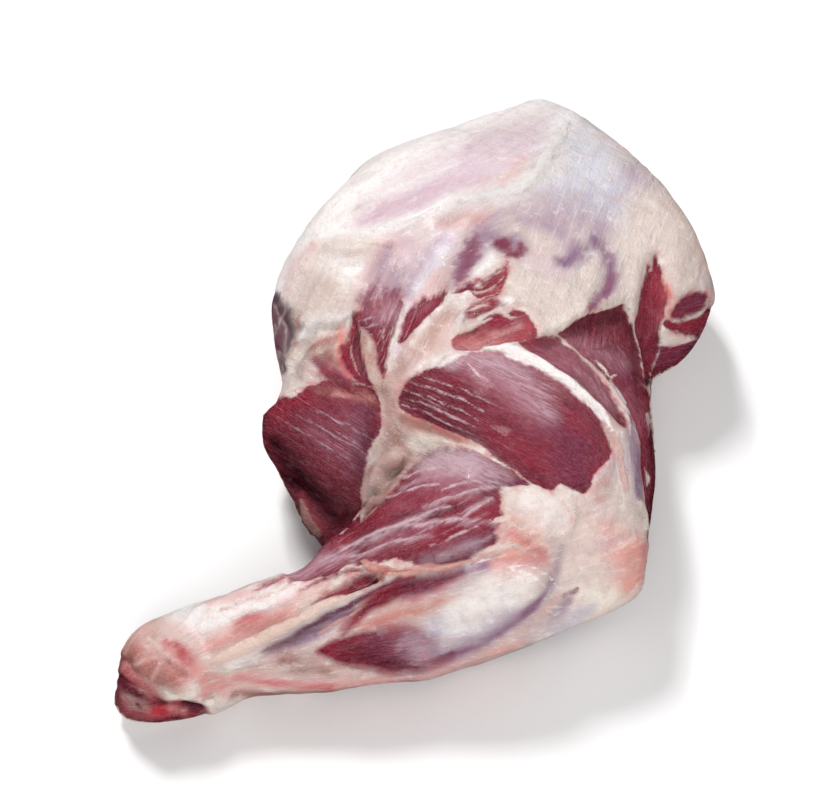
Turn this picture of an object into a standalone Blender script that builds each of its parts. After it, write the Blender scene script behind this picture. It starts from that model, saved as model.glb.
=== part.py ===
"""A raw lamb shoulder, bone in, with its shank: one piece of meat lying on its cut side.

The blade end is the broad dome at +Y, the elbow is the corner at +X, -Y, and the shank runs from
it towards -X, to the knuckle. The muscles are ellipsoids and one tapered tube, skinned into one
surface, trimmed to the outline that it shows to the front, and laid flat on the table. The seams
between the muscles and the edges of the fat are then carved into that surface. Sizes are in
millimetres until the last step.
"""

import math

import bmesh
import bpy
import numpy as np
from mathutils import Euler, Matrix, Vector

NAME = "lamb_shoulder"
MM = 0.001

# The drawing board: a sheet square to the line of sight, 50 degrees above the table, on which the
# outline and the seams are drawn. A point drawn on it falls on the meat along the line from the eye.
EYE_ELEVATION = math.radians(50)
EYE_DISTANCE = 743
BOARD_CENTRE = Vector((0, 0, 40))
ACROSS = Vector((1, 0, 0))
AWAY = Vector((0, math.cos(EYE_ELEVATION), -math.sin(EYE_ELEVATION)))
UP = Vector((0, math.sin(EYE_ELEVATION), math.cos(EYE_ELEVATION)))
EYE = BOARD_CENTRE - AWAY * EYE_DISTANCE

# The skin: two passes, the first coarse, to run the muscles into each other
FIRST_VOXEL = 4
FIRST_SMOOTH_STEPS = 14
LAST_VOXEL = 2.6
LAST_SMOOTH_STEPS = 14
SPHERE_SEGMENTS = 32
SPHERE_RINGS = 20
FACES_KEPT = 11300

# The cut that the shoulder rests on is this far above the underside of the muscles
REST_HEIGHT = 1.5

# The muscles: centre, half sizes, and turn in degrees about Z, then Y, then X
MUSCLES = {
    "core": ((28, 8, 38), (67, 66, 48), (0, 0, 0)),
    "blade": ((31, 68, 40), (82, 73, 48), (0, 0, 0)),
    "blade_upper": ((9, 87, 44), (70, 37, 40), (0, 0, 30)),
    "blade_corner": ((46, 112, 43), (48, 49, 32), (0, 0, 0)),
    "blade_tip": ((53, 138, 48), (22, 22, 20), (0, 0, 0)),
    "blade_side": ((72, 112, 44), (29, 29, 27), (0, 0, 0)),
    "blade_rear": ((77, 82, 40), (58, 38, 40), (0, 0, -42)),
    "shoulder_point": ((-20, 40, 38), (42, 50, 40), (0, 0, 0)),
    "rear_flap": ((93, 48, 42), (29, 32, 31), (0, 0, 0)),
    "triceps": ((40, -30, 46), (55, 40, 38), (0, 0, -24)),
    "rear_arm": ((71, -28, 36), (25, 56, 36), (0, 0, -4)),
    "brisket": ((-26, -20, 34), (37, 31, 36), (0, 0, -40)),
    "brisket_end": ((-44, -12, 36), (20, 21, 21), (0, 0, 0)),
    "brisket_under": ((-20, -42, 20), (32, 23, 27), (0, 0, -30)),
    "elbow": ((58, -72, 34), (30, 31, 31), (0, 0, 0)),
    "elbow_tip": ((75, -80, 31), (15, 15, 19), (0, 0, 0)),
    "forearm": ((23, -78, 42), (62, 40, 29), (40, 0, 27)),
    "forearm_low": ((10, -95, 24), (60, 23, 24), (0, 0, 9)),
    "knuckle": ((-94, -117, 20), (20, 20, 20), (0, 0, 0)),
    "knuckle_cap": ((-98, -123, 15), (17, 13, 15), (0, 0, 0)),
    "knuckle_side": ((-82, -121, 17), (15, 13, 16), (0, 0, 0)),
}

# The shank: points along its axis, and its radius at each
SHANK = (
    ((60, -70, 30), 26),
    ((25, -80, 28), 28),
    ((-8, -90, 28), 29),
    ((-35, -98, 26), 27),
    ((-53, -102, 22), 23.5),
    ((-70, -106, 20), 20.5),
    ((-88, -113, 19), 20.5),
    ((-96, -118, 19), 20),
)

# The outline on the board, clockwise from the top corner of the blade
OUTLINE = (
    (49, 119.5), (67.5, 109.5), (93, 88), (106.5, 70), (114.5, 53), (118.5, 39), (116.5, 25), (109, 13),
    (93.5, 2.5), (93.5, -8.5), (95.5, -30.5), (94, -49.5), (90, -65), (89.5, -75), (84, -82.5),
    (49.5, -97.5), (16.5, -109.5), (-13, -117.5), (-43, -119), (-66.5, -119.5), (-78.5, -126),
    (-91, -130), (-111, -131.5), (-120.5, -127.5), (-121.5, -118.5), (-119, -105), (-108, -92),
    (-78.5, -81.5), (-51, -72), (-39, -62), (-44, -52), (-60.5, -24), (-63, -15), (-60.5, -7),
    (-53, 1), (-55.5, 14.5), (-57.5, 34.5), (-55, 48.5), (-45.5, 65), (-30.5, 81.5), (-18.5, 93.5),
    (4, 102.5), (25, 109.5), (40, 114.5),
)
TRIM_NEAR, TRIM_FAR = 0.7, 1.5

# Muscles and flaps that stand proud inside a closed line on the board: height, and how far the
# slope runs in from the line. A line runs past the outline where the muscle goes over the edge.
PADS = {
    "blade_muscle": (
        1.4, 9,
        ((-44, 61), (-60, 90), (-20, 130), (60, 145), (68, 108), (52, 93), (42, 82), (29, 76),
         (8, 73), (-8, 67), (-28, 60)),
    ),
    "triceps": (
        3.6, 6,
        ((-7, -3), (3, 9), (17, 17), (33, 16), (49, 9), (65, -3), (77, -20), (77, -34), (68, -41),
         (52, -37), (36, -30), (14, -15), (-4, -6)),
    ),
    "brisket": (
        2.6, 7,
        ((-58, 0), (-42, 5), (-28, 4), (-18, -2), (-16, -14), (-22, -30), (-24, -46), (-34, -70),
         (-80, -40), (-80, -8)),
    ),
    "forearm": (
        2.6, 6,
        ((-36, -62), (-21, -47), (-8, -35), (2, -25), (13, -23), (26, -27), (37, -34), (33, -44),
         (32, -58), (6, -68), (-20, -70)),
    ),
    "flexor": (
        2.6, 6,
        ((-39, -102), (-24, -94), (-4, -80), (20, -71), (44, -69), (52, -76), (46, -88), (28, -97),
         (6, -106), (-16, -110), (-32, -109)),
    ),
    "cut_end": (
        1.6, 3,
        ((13, 18), (18, 27), (28, 32), (42, 34), (50, 26), (46, 20), (30, 19)),
    ),
}

# Sheets of fell that end in an edge: height at the edge, how steep the edge is, how far the height
# carries back from it, the edge, and a line closing it behind
FLAPS = {
    "apron": (
        2.6, 3, 30,
        ((24, 22), (41, 22), (47, 20), (60, 26), (74, 31), (81, 36), (86, 30)),
        ((90, 52), (98, 54), (103, 42), (126, 40), (126, 80), (60, 100), (6, 70), (10, 40)),
    ),
}

# Lines on the board: depth, half width, and points. A groove has a depth above nought, and a
# tendon or a ridge of fat one below.
SEAMS = {
    "fat_ridge": (
        -1.3, 4.5,
        ((57, 98), (50, 91), (41, 81), (28, 76), (9, 73), (-8, 67), (-28, 60), (-44, 51)),
    ),
    "cream_valley": (1.6, 6, ((30, 52), (24, 44), (6, 22), (-6, 2), (-13, -14), (-14, -28))),
    "shoulder_folds": (1.4, 3, ((-56, 30), (-44, 20), (-33, 24), (-28, 32))),
    "lavender_streak": (1.1, 4, ((22, 58), (4, 40), (-12, 16), (-20, 4))),
    "slit": (3.4, 4, ((95, 53), (92, 36), (92, 20), (93, 0))),
    "slit_side": (1.4, 2.5, ((87, 34), (89, 20), (91, 6))),
    "flap_fold": (1.3, 3, ((97, 32), (104, 28), (116, 34))),
    "flap_under": (1.2, 3, ((96, 16), (104, 18), (114, 24))),
    "white_band": (-1.6, 3, ((30, 19), (46, 14), (62, 5), (74, -9), (82, -24), (86, -42))),
    "rear_groove": (1.6, 2.5, ((66, 18), (74, 6), (84, -8), (90, -26), (91, -46))),
    "brisket_top": (2.4, 3, ((-60, -1), (-52, 3), (-40, 6), (-28, 6), (-17, 1))),
    "brisket_side": (2.6, 4, ((-15, -4), (-13, -16), (-19, -32), (-22, -46))),
    "brisket_edge": (1.4, 2.5, ((-58, -30), (-46, -38), (-34, -48))),
    "forearm_top": (2.4, 3, ((-30, -55), (-14, -40), (0, -25), (13, -20), (28, -24), (46, -36))),
    "forearm_mid": (1.7, 2.5, ((-44, -74), (-24, -62), (0, -52), (22, -46), (34, -40))),
    "forearm_under": (2.2, 3, ((-70, -92), (-46, -82), (-22, -73), (4, -68), (30, -66))),
    "tendon": (-1.7, 2.2, ((-84, -108), (-66, -99), (-48, -90), (-30, -81), (-10, -74))),
    "tendon_under": (1.6, 2.5, ((-80, -112), (-62, -104), (-44, -96), (-26, -88), (-8, -79))),
    "shank_low": (1.3, 3, ((-72, -118), (-52, -112), (-36, -111), (-10, -114))),
    "elbow_fold": (1.5, 3, ((54, -58), (54, -72), (46, -86), (30, -97))),
    "knuckle_crack": (3, 2.5, ((-121, -104), (-112, -112), (-101, -119), (-88, -121), (-80, -118))),
    "knuckle_neck": (1.3, 4, ((-94, -84), (-88, -98), (-80, -110), (-70, -118))),
}

# Bones and lumps of fat under the surface: place on the board, radius, height
LUMPS = (
    ((84, -66), 9, 1.8), ((70, -80), 8, 1.0), ((52, -60), 6, 1.2),
    ((-9, -26), 5, 2.2), ((-16, -35), 4, 1.8), ((-17, -70), 4, 1.8), ((-46, 52), 9, 1.4),
    ((20, 66), 7, 1.4), ((-108, -98), 6, 1.4), ((-97, -104), 6, 1.6), ((-88, -113), 6, 1.6),
    ((-106, -124), 6, 1.4), ((100, 62), 12, 1.6), ((58, 60), 12, 1.2), ((110, 12), 7, 1.2),
)
FACING_SPAN = 0.35

# Seams where the layers of muscle meet round the sides that the board can't see: height, swing
# up and down, swings a turn, start of the swing, depth, half width
LAYER_CENTRE = (20, 20)
LAYERS = (
    (20, 6, 3, 0.4, 1.8, 3.0),
    (41, 7, 2, 1.9, 1.6, 3.5),
    (58, 5, 4, 3.0, 1.2, 3.0),
)

MEAT_COLOUR = (0.42, 0.16, 0.17, 1)
MEAT_ROUGHNESS = 0.38


def empty_scene():
    for obj in list(bpy.data.objects):
        bpy.data.objects.remove(obj)


def new_object(name, bm):
    mesh = bpy.data.meshes.new(name)
    bm.to_mesh(mesh)
    bm.free()
    obj = bpy.data.objects.new(name, mesh)
    bpy.context.scene.collection.objects.link(obj)
    return obj


def apply_modifiers(obj):
    graph = bpy.context.evaluated_depsgraph_get()
    mesh = bpy.data.meshes.new_from_object(obj.evaluated_get(graph))
    obj.modifiers.clear()
    obj.data = mesh


def add_muscle(bm, centre, half_sizes, turn):
    rotation = Euler([math.radians(a) for a in turn], "ZYX").to_matrix().to_4x4()
    matrix = Matrix.Translation(centre) @ rotation @ Matrix.Diagonal((*half_sizes, 1))
    bmesh.ops.create_uvsphere(
        bm, u_segments=SPHERE_SEGMENTS, v_segments=SPHERE_RINGS, radius=1, matrix=matrix
    )


def shank_mesh():
    """The tapered tube of the shank, as a mesh."""
    curve = bpy.data.curves.new("shank", "CURVE")
    curve.dimensions = "3D"
    curve.bevel_depth = 1
    curve.bevel_resolution = 8
    curve.use_fill_caps = True
    spline = curve.splines.new("NURBS")
    spline.points.add(len(SHANK) - 1)
    for point, (place, radius) in zip(spline.points, SHANK):
        point.co = (*place, 1)
        point.radius = radius
    spline.order_u = 4
    spline.use_endpoint_u = True
    obj = bpy.data.objects.new("shank", curve)
    bpy.context.scene.collection.objects.link(obj)
    graph = bpy.context.evaluated_depsgraph_get()
    mesh = bpy.data.meshes.new_from_object(obj.evaluated_get(graph))
    bpy.data.objects.remove(obj)
    return mesh


def skin_over(obj, voxel, smooth_steps):
    skin = obj.modifiers.new("skin", "REMESH")
    skin.mode = "VOXEL"
    skin.voxel_size = voxel
    soften = obj.modifiers.new("soften", "SMOOTH")
    soften.factor = 0.5
    soften.iterations = smooth_steps
    apply_modifiers(obj)


def smooth_line(points, closed=False, parts=6):
    """Points along a smooth curve that passes through the given ones."""
    given = np.array(points, float)
    if closed:
        given = np.vstack([given[-1:], given, given[:2]])
    else:
        given = np.vstack([2 * given[0] - given[1], given, 2 * given[-1] - given[-2]])
    before, start, end, after = given[:-3], given[1:-2], given[2:-1], given[3:]
    t = np.linspace(0, 1, parts, endpoint=False)[:, None, None]
    curve = 0.5 * (
        2 * start
        + (end - before) * t
        + (2 * before - 5 * start + 4 * end - after) * t**2
        + (3 * start - before - 3 * end + after) * t**3
    )
    curve = curve.transpose(1, 0, 2).reshape(-1, 2)
    return curve if closed else np.vstack([curve, given[-2:-1]])


def on_board(across, up):
    return BOARD_CENTRE + ACROSS * across + UP * up


def outline_cutter():
    """The outline carried along the lines of sight, from in front of the meat to behind it."""
    ring = smooth_line(OUTLINE, closed=True, parts=4)
    bm = bmesh.new()
    near = [bm.verts.new(EYE + (on_board(*p) - EYE) * TRIM_NEAR) for p in ring]
    far = [bm.verts.new(EYE + (on_board(*p) - EYE) * TRIM_FAR) for p in ring]
    bm.faces.new(near)
    bm.faces.new(far)
    for i in range(len(ring)):
        bm.faces.new((near[i - 1], near[i], far[i], far[i - 1]))
    bmesh.ops.recalc_face_normals(bm, faces=bm.faces)
    return new_object("outline_cutter", bm)


def table_cutter():
    """The space above the table."""
    size = 600
    bm = bmesh.new()
    bmesh.ops.create_cube(bm, size=size, matrix=Matrix.Translation((0, 0, size / 2)))
    return new_object("table_cutter", bm)


def keep_inside(obj, cutter):
    keep = obj.modifiers.new("keep", "BOOLEAN")
    keep.operation = "INTERSECT"
    keep.object = cutter
    apply_modifiers(obj)
    bpy.data.objects.remove(cutter)


def line_distance(spots, line):
    """How far each spot is from an open or closed line, and its winding number about it."""
    nearest = np.full(len(spots), np.inf)
    winding = np.zeros(len(spots))
    for start, end in zip(line[:-1], line[1:]):
        to_start, to_end = start - spots, end - spots
        side = end - start
        along = np.clip(-(to_start @ side) / (side @ side), 0, 1)
        nearest = np.minimum(nearest, np.linalg.norm(to_start + along[:, None] * side, axis=1))
        cross = to_start[:, 0] * to_end[:, 1] - to_start[:, 1] * to_end[:, 0]
        winding += np.arctan2(cross, (to_start * to_end).sum(axis=1))
    return nearest, winding / math.tau


def rise_inside(spots, outline, slope):
    """From 0 on a closed line to 1 at the slope's width inside it."""
    ring = smooth_line(outline, closed=True)
    distance, winding = line_distance(spots, np.vstack([ring, ring[:1]]))
    rise = np.clip(np.where(np.abs(winding) > 0.5, distance, 0) / slope, 0, 1)
    return rise * (2 - rise)


def relief_on_board(spots):
    """How far the surface stands out, or in, at each spot of the board."""
    relief = np.zeros(len(spots))
    for height, slope, outline in PADS.values():
        relief += height * rise_inside(spots, outline, slope)
    for height, slope, reach, edge, behind in FLAPS.values():
        distance, _ = line_distance(spots, smooth_line(edge))
        relief += height * rise_inside(spots, edge + behind, slope) * np.exp(-((distance / reach) ** 2))
    for depth, half_width, points in SEAMS.values():
        distance, _ = line_distance(spots, smooth_line(points))
        relief -= depth * np.exp(-((distance / half_width) ** 2))
    for place, radius, height in LUMPS:
        distance = np.linalg.norm(spots - np.array(place), axis=1)
        relief += height * np.exp(-((distance / radius) ** 2))
    return relief


def relief_round_sides(places):
    """The seams between the layers of muscle round the sides."""
    angle = np.arctan2(places[:, 1] - LAYER_CENTRE[1], places[:, 0] - LAYER_CENTRE[0])
    relief = np.zeros(len(places))
    for height, swing, swings, start, depth, half_width in LAYERS:
        level = height + swing * np.sin(swings * angle + start)
        relief -= depth * np.exp(-(((places[:, 2] - level) / half_width) ** 2))
    return relief


def carve(mesh):
    """Move the surface in and out along its normals, where it faces the board and where not."""
    count = len(mesh.vertices)
    places, normals = np.empty(count * 3), np.empty(count * 3)
    mesh.vertices.foreach_get("co", places)
    mesh.vertex_normals.foreach_get("vector", normals)
    places, normals = places.reshape(-1, 3), normals.reshape(-1, 3)
    sight = places - np.array(EYE)
    depth = sight @ np.array(AWAY)
    spots = np.stack([sight @ np.array(ACROSS), sight @ np.array(UP)], axis=1)
    spots *= (EYE_DISTANCE / depth)[:, None]
    facing = -(normals * sight).sum(axis=1) / np.linalg.norm(sight, axis=1)
    seen = np.clip(facing / FACING_SPAN, 0, 1)
    off_table = np.clip((places[:, 2] - REST_HEIGHT) / 6, 0, 1)
    relief = seen * relief_on_board(spots) + (1 - seen) * relief_round_sides(places)
    places += normals * (relief * off_table)[:, None]
    mesh.vertices.foreach_set("co", places.ravel())
    mesh.update()


def thin_out(obj):
    thin = obj.modifiers.new("thin", "DECIMATE")
    thin.ratio = FACES_KEPT / (2 * len(obj.data.polygons))
    apply_modifiers(obj)


def cut_flat(obj):
    """Cut the underside off level, so that the shoulder rests on flat faces."""
    bm = bmesh.new()
    bm.from_mesh(obj.data)
    bmesh.ops.bisect_plane(
        bm, geom=bm.verts[:] + bm.edges[:] + bm.faces[:], dist=0.05,
        plane_co=(0, 0, REST_HEIGHT), plane_no=(0, 0, 1), clear_inner=True,
    )
    for vertex in bm.verts:
        vertex.co.z = max(vertex.co.z, REST_HEIGHT)
    bmesh.ops.holes_fill(bm, edges=[edge for edge in bm.edges if edge.is_boundary])
    bmesh.ops.triangulate(bm, faces=bm.faces)
    bmesh.ops.recalc_face_normals(bm, faces=bm.faces)
    bm.to_mesh(obj.data)
    bm.free()


def meat_material():
    material = bpy.data.materials.new("raw_lamb")
    material.use_nodes = True
    shader = material.node_tree.nodes["Principled BSDF"]
    shader.inputs["Base Color"].default_value = MEAT_COLOUR
    shader.inputs["Roughness"].default_value = MEAT_ROUGHNESS
    shader.inputs["Metallic"].default_value = 0
    material.diffuse_color = MEAT_COLOUR
    return material


def place_on_origin(obj):
    """Scale to metres and put the middle of the underside of its box at the origin."""
    corners = np.array(obj.bound_box)
    low, high = corners.min(axis=0), corners.max(axis=0)
    middle = Vector(((low[0] + high[0]) / 2, (low[1] + high[1]) / 2, low[2]))
    obj.data.transform(Matrix.Scale(MM, 4) @ Matrix.Translation(-middle))


def main():
    empty_scene()
    bm = bmesh.new()
    for centre, half_sizes, turn in MUSCLES.values():
        add_muscle(bm, centre, half_sizes, turn)
    bm.from_mesh(shank_mesh())
    obj = new_object(NAME, bm)
    skin_over(obj, FIRST_VOXEL, FIRST_SMOOTH_STEPS)
    keep_inside(obj, outline_cutter())
    keep_inside(obj, table_cutter())
    skin_over(obj, LAST_VOXEL, LAST_SMOOTH_STEPS)
    carve(obj.data)
    thin_out(obj)
    cut_flat(obj)
    place_on_origin(obj)
    obj.data.materials.clear()
    obj.data.materials.append(meat_material())
    obj.data.name = NAME
    collection = bpy.data.collections.new(NAME)
    bpy.context.scene.collection.children.link(collection)
    bpy.context.scene.collection.objects.unlink(obj)
    collection.objects.link(obj)


main()
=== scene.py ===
"""The looks of a raw lamb shoulder: dark red muscle under torn fell, fat and tendon.

The meat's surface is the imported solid's, skinned finer and then worked over: edges of fell, bands
of fat, fibres and lumps are raised in the mesh, and the colours are painted on it in soft strokes
and sharp patches. Strokes and patches are drawn on a board, a sheet square to the line of sight of
the photograph, and fall on the meat along the lines from the eye. Sizes are in millimetres.

A stroke is written as its radius and the points that it runs through. A point with a third number
has that as its own radius.
"""

import math

import bmesh
import bpy
import numpy as np
from mathutils import Color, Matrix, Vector


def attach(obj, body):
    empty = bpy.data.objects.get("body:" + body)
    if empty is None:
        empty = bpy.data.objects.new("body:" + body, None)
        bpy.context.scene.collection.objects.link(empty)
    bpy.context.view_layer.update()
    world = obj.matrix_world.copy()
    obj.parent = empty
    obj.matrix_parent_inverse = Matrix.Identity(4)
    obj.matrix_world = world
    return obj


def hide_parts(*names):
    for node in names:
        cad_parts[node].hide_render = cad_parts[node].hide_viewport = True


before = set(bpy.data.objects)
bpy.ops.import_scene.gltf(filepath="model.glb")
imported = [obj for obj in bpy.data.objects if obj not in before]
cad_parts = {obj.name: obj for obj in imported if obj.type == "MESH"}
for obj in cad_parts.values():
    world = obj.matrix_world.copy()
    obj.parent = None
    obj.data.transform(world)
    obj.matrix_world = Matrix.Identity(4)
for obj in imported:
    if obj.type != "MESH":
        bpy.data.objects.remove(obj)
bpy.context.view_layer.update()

NODE = "lamb_shoulder"
MM = 0.001

# The board and the eye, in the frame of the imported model
EYE_ELEVATION = math.radians(50)
EYE_DISTANCE = 743
BOARD_CENTRE = np.array([-6.5, -11.7, 38.5])
ACROSS = np.array([1.0, 0.0, 0.0])
AWAY = np.array([0.0, math.cos(EYE_ELEVATION), -math.sin(EYE_ELEVATION)])
UP = np.array([0.0, math.sin(EYE_ELEVATION), math.cos(EYE_ELEVATION)])
EYE = BOARD_CENTRE - AWAY * EYE_DISTANCE
LENS = 80
SENSOR = 36

# The skin: the side away from the eye keeps fewer faces
WELD_DISTANCE = 0.01
SKIN_VOXEL = 1.05
SKIN_SMOOTH_STEPS = 9
SKIN_SMOOTH_SHARE = 0.5
FAR_FACING = -0.2
FAR_FACES_DROPPED = 0.85
FAR_WEIGHT = 1000
SEEN_FACING = (-0.3, -0.08)

# Colours, as they look in even light: red, green and blue from 0 to 255
FULL = 255
PALETTE = {
    "white": (250, 245, 243),
    "ivory": (240, 228, 216),
    "cream": (224, 208, 200),
    "pink_cream": (226, 202, 194),
    "warm_cream": (226, 200, 186),
    "dull_cream": (204, 182, 173),
    "tan": (186, 150, 136),
    "lavender": (224, 200, 213),
    "pink_lavender": (210, 178, 192),
    "blue_white": (218, 216, 226),
    "blue_grey": (190, 182, 200),
    "mauve": (178, 152, 168),
    "violet": (142, 108, 136),
    "skin_red": (194, 118, 110),
    "bright_red": (206, 44, 58),
    "skin_brown": (138, 72, 68),
    "fat_pink": (206, 172, 166),
    "purple": (140, 90, 114),
    "dark_purple": (104, 54, 78),
    "plum_red": (128, 56, 78),
    "rose": (228, 180, 176),
    "blush": (224, 152, 148),
    "orange_pink": (224, 150, 136),
    "flesh": (204, 148, 138),
    "red_tint": (200, 84, 92),
    "fat_grey": (160, 118, 110),
    "brown_grey": (92, 68, 76),
    "brown": (146, 88, 78),
    "muscle": (126, 40, 56),
    "muscle_dark": (98, 22, 38),
    "muscle_deep": (48, 4, 16),
    "muscle_pink": (166, 98, 114),
    "muscle_purple": (112, 44, 72),
    "muscle_red": (142, 26, 48),
    "cut_red": (170, 72, 80),
    "milk": (208, 176, 186),
}

# The darker colours, which show through the fell in patches; down the shoulder's left edge they are
# partly painted shade
PATCHY_COLOURS = ("brown_grey", "purple", "plum_red", "muscle_purple", "muscle_red", "muscle_dark")

# Where the fell and fat are torn or cut away and the muscle is bare: how far the edge fades, and
# a closed line on the board
BARE_OUTLINES = {
    "triceps": (0.45, (-8, -2.4), (-5.2, 2.4), (-2.4, 6.4), (2.8, 9.2), (8.8, 11.2), (14.8, 13.6),
        (20.8, 16.4), (28.8, 16.8), (35.6, 15.6), (42.8, 13.2), (50, 8.8), (58, 4), (64.4, -0.8),
        (70.4, -6), (75.2, -12.4), (78, -20), (75.2, -26.4), (70.4, -30.8), (68.4, -36.4), (66, -40),
        (61.2, -37.6), (56.8, -35.6), (53.6, -38.8), (48.8, -37.2), (42.8, -33.6), (36.8, -29.2),
        (30.8, -24.8), (24, -20.4), (16.8, -16.8), (8.8, -13.2), (0.8, -10.4), (-5.2, -7.6)),
    "beside_band": (0.7, (40.8, 20.4), (48, 22.4), (55.2, 22.8), (61.6, 17.6), (68, 12), (73.6, 5.6),
        (78, -1.2), (81.2, -7.2), (82.4, -13.6), (79.6, -12), (74, -5.6), (68.8, 0), (62.8, 5.2),
        (56, 10), (48.8, 14.4), (43.6, 17.6)),
    "rear": (0.45, (54.8, 22), (58, 25.6), (63.2, 29.2), (71.2, 32.4), (76.8, 34), (82, 36.4),
        (84.4, 31.2), (86.4, 24.8), (88, 17.6), (89.6, 9.6), (92.8, -1.6), (96, -12), (98.8, -22),
        (100, -34), (98, -44), (95.2, -52.8), (92, -60), (90.8, -52.4), (90.4, -42.4), (89.6, -32.4),
        (88.8, -22.4), (87.6, -15.2), (85.6, -9.2), (82, -4), (77.2, 2.4), (71.6, 8.8), (65.6, 14.4),
        (59.6, 18.8)),
    "brisket": (0.45, (-72, -12), (-66, -4), (-51.2, -2), (-47.6, 0.8), (-40, 4.4), (-32, 4.8),
        (-25.2, 4), (-18.8, 1.6), (-16, -1.6), (-14.4, -8.4), (-15.2, -14.8), (-18.4, -20.4),
        (-20.8, -27.2), (-21.6, -34.4), (-22.4, -44.8), (-24, -56), (-32, -72), (-56, -72), (-74, -40)),
    "extensors": (0.7, (-40.8, -68.8), (-34.4, -62.8), (-26, -54), (-15.2, -44), (-6.8, -34),
        (-0.8, -27.2), (5.6, -23.6), (13.6, -22.4), (22.8, -24), (30.8, -26.8), (37.6, -30.8),
        (44.8, -36), (40.8, -37.2), (34.8, -36.8), (32.4, -38.4), (32.8, -42), (32, -45.6), (34, -48.4),
        (32.4, -51.6), (30.4, -55.6), (31.6, -58.8), (28, -62), (22.8, -64.8), (14.8, -67.2),
        (6.8, -69.6), (1.6, -68.8), (-4, -67.2), (-9.2, -66.4), (-15.2, -67.2), (-22, -68),
        (-29.2, -69.2), (-36, -70.8)),
    "flexor_tip": (1.5, (-40.4, -102.8), (-36, -99.6), (-30, -97.2), (-22.4, -95.6), (-14.4, -95.2),
        (-8.8, -96.8), (-6.4, -101.6), (-2.4, -105.6), (2.4, -108), (-5.6, -110), (-13.6, -110),
        (-23.2, -109.6), (-31.2, -108.4), (-36.8, -105.6)),
    "flexor_middle": (6, (-17.2, -96), (-7.2, -93.6), (0.8, -94.4), (6.4, -99.2), (2.4, -104.8),
        (-7.2, -108.8), (-17.2, -108.8)),
    "cut_end": (0.4, (14, 20.8), (16, 23.2), (19.2, 25.2), (22.8, 26.4), (25.6, 29.2), (28, 31.2),
        (31.6, 32.4), (35.2, 31.2), (38.4, 33.2), (41.6, 32.8), (44.8, 30.4), (47.2, 26.8), (47.6, 23.2),
        (45.2, 21.6), (39.6, 20.4), (32.8, 19.2), (26, 17.6), (19.2, 17.2), (14.8, 17.6)),
    "slit": (0.8, (94.4, 55.6), (96, 51.2), (97.2, 46.4), (98.8, 42), (99.6, 37.6), (98.8, 32.8),
        (98, 28.4), (96.8, 24), (96.4, 18.8), (95.2, 13.6), (93.6, 7.2), (92, 2.8), (90.4, 4), (90, 9.6),
        (88.8, 16), (87.6, 20.8), (86.4, 24), (85.6, 28.4), (87.2, 32.8), (88.8, 37.6), (89.6, 42.4),
        (90.8, 47.2), (91.6, 51.2), (92.8, 49.2)),
    "lobe_upper": (1.1, (101.2, 32.8), (103.6, 36.4), (107.6, 39.6), (111.2, 41.2), (114.4, 40.4),
        (116, 38), (114.4, 35.2), (111.6, 33.2), (108, 31.6), (104.8, 30), (101.6, 30.4)),
    "lobe_lower": (1, (98, 28.4), (100, 29.6), (103.2, 29.2), (107.6, 30), (112, 31.6), (115.2, 34.4),
        (119.2, 36.4), (119.2, 26.4), (115.2, 23.6), (111.6, 21.6), (108.8, 23.2), (105.6, 24.4),
        (102.8, 25.2), (100, 26)),
    "lobe_under": (1, (96.4, 18.4), (99.6, 19.2), (103.6, 19.2), (107.6, 20.4), (110.8, 22), (113.6, 24),
        (120, 25.6), (117.6, 16.8), (109.6, 8), (100, 1.6), (93.6, -0.8), (92.8, 4.8), (95.2, 12.8)),
    "strip": (0.9, (36.8, 52), (35.6, 46.8), (34, 42), (32, 38.4), (28, 36.8), (24, 38), (22, 40.4),
        (24.8, 43.2), (28, 45.6), (30.8, 47.6), (33.2, 49.2)),
    "strip_left": (1, (13.2, 38.8), (15.6, 41.2), (18.8, 42.8), (22.8, 44.8), (25.2, 45.2), (22.8, 42),
        (23.6, 39.6), (19.2, 39.6), (16, 38.8)),
    "strip_low": (1.3, (18.8, 31.6), (21.2, 34.8), (25.2, 36.8), (29.6, 37.6), (32.4, 36.4), (30.8, 33.6),
        (26.8, 32), (22.4, 30.4)),
    "knuckle_cap": (1.6, (-124, -108), (-120.8, -104.8), (-117.6, -104.8), (-114.4, -108), (-111.2, -112),
        (-107.2, -116), (-103.2, -119.6), (-100, -122.4), (-95.2, -122.8), (-91.2, -122), (-87.2, -123.2),
        (-84, -126.8), (-88, -130), (-99.2, -132), (-111.2, -133.2), (-120.8, -132), (-125.6, -124.4),
        (-125.6, -114.4)),
    "shoulder_left": (0.8, (-25.6, 32), (-23.2, 28.8), (-22, 23.6), (-22, 17.6), (-21.2, 12),
        (-19.2, 6.4), (-17.6, 2.8), (-20.8, 2.8), (-24.8, 5.2), (-28, 8.4), (-30.4, 12.8), (-30.8, 17.6),
        (-28.8, 22.4), (-27.2, 27.2)),
    "shoulder_middle": (0.9, (-25.6, 32), (-20.8, 34.4), (-14.4, 36.8), (-8, 38.4), (-5.6, 36),
        (-7.2, 30.4), (-8.8, 24.8), (-10.4, 18.4), (-12, 12), (-13.2, 5.6), (-15.2, 8.8), (-16, 15.2),
        (-17.2, 20.4), (-19.2, 24), (-22, 26.4), (-25.6, 28.8)),
    "shoulder_right": (0.9, (-5.2, 30.4), (-2.4, 34.8), (2.4, 37.6), (8, 39.2), (11.6, 40), (10, 36),
        (6.4, 32), (2.4, 29.2), (-1.6, 25.6), (-5.2, 20.8), (-7.6, 19.2), (-6.8, 24.8)),
}

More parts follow.
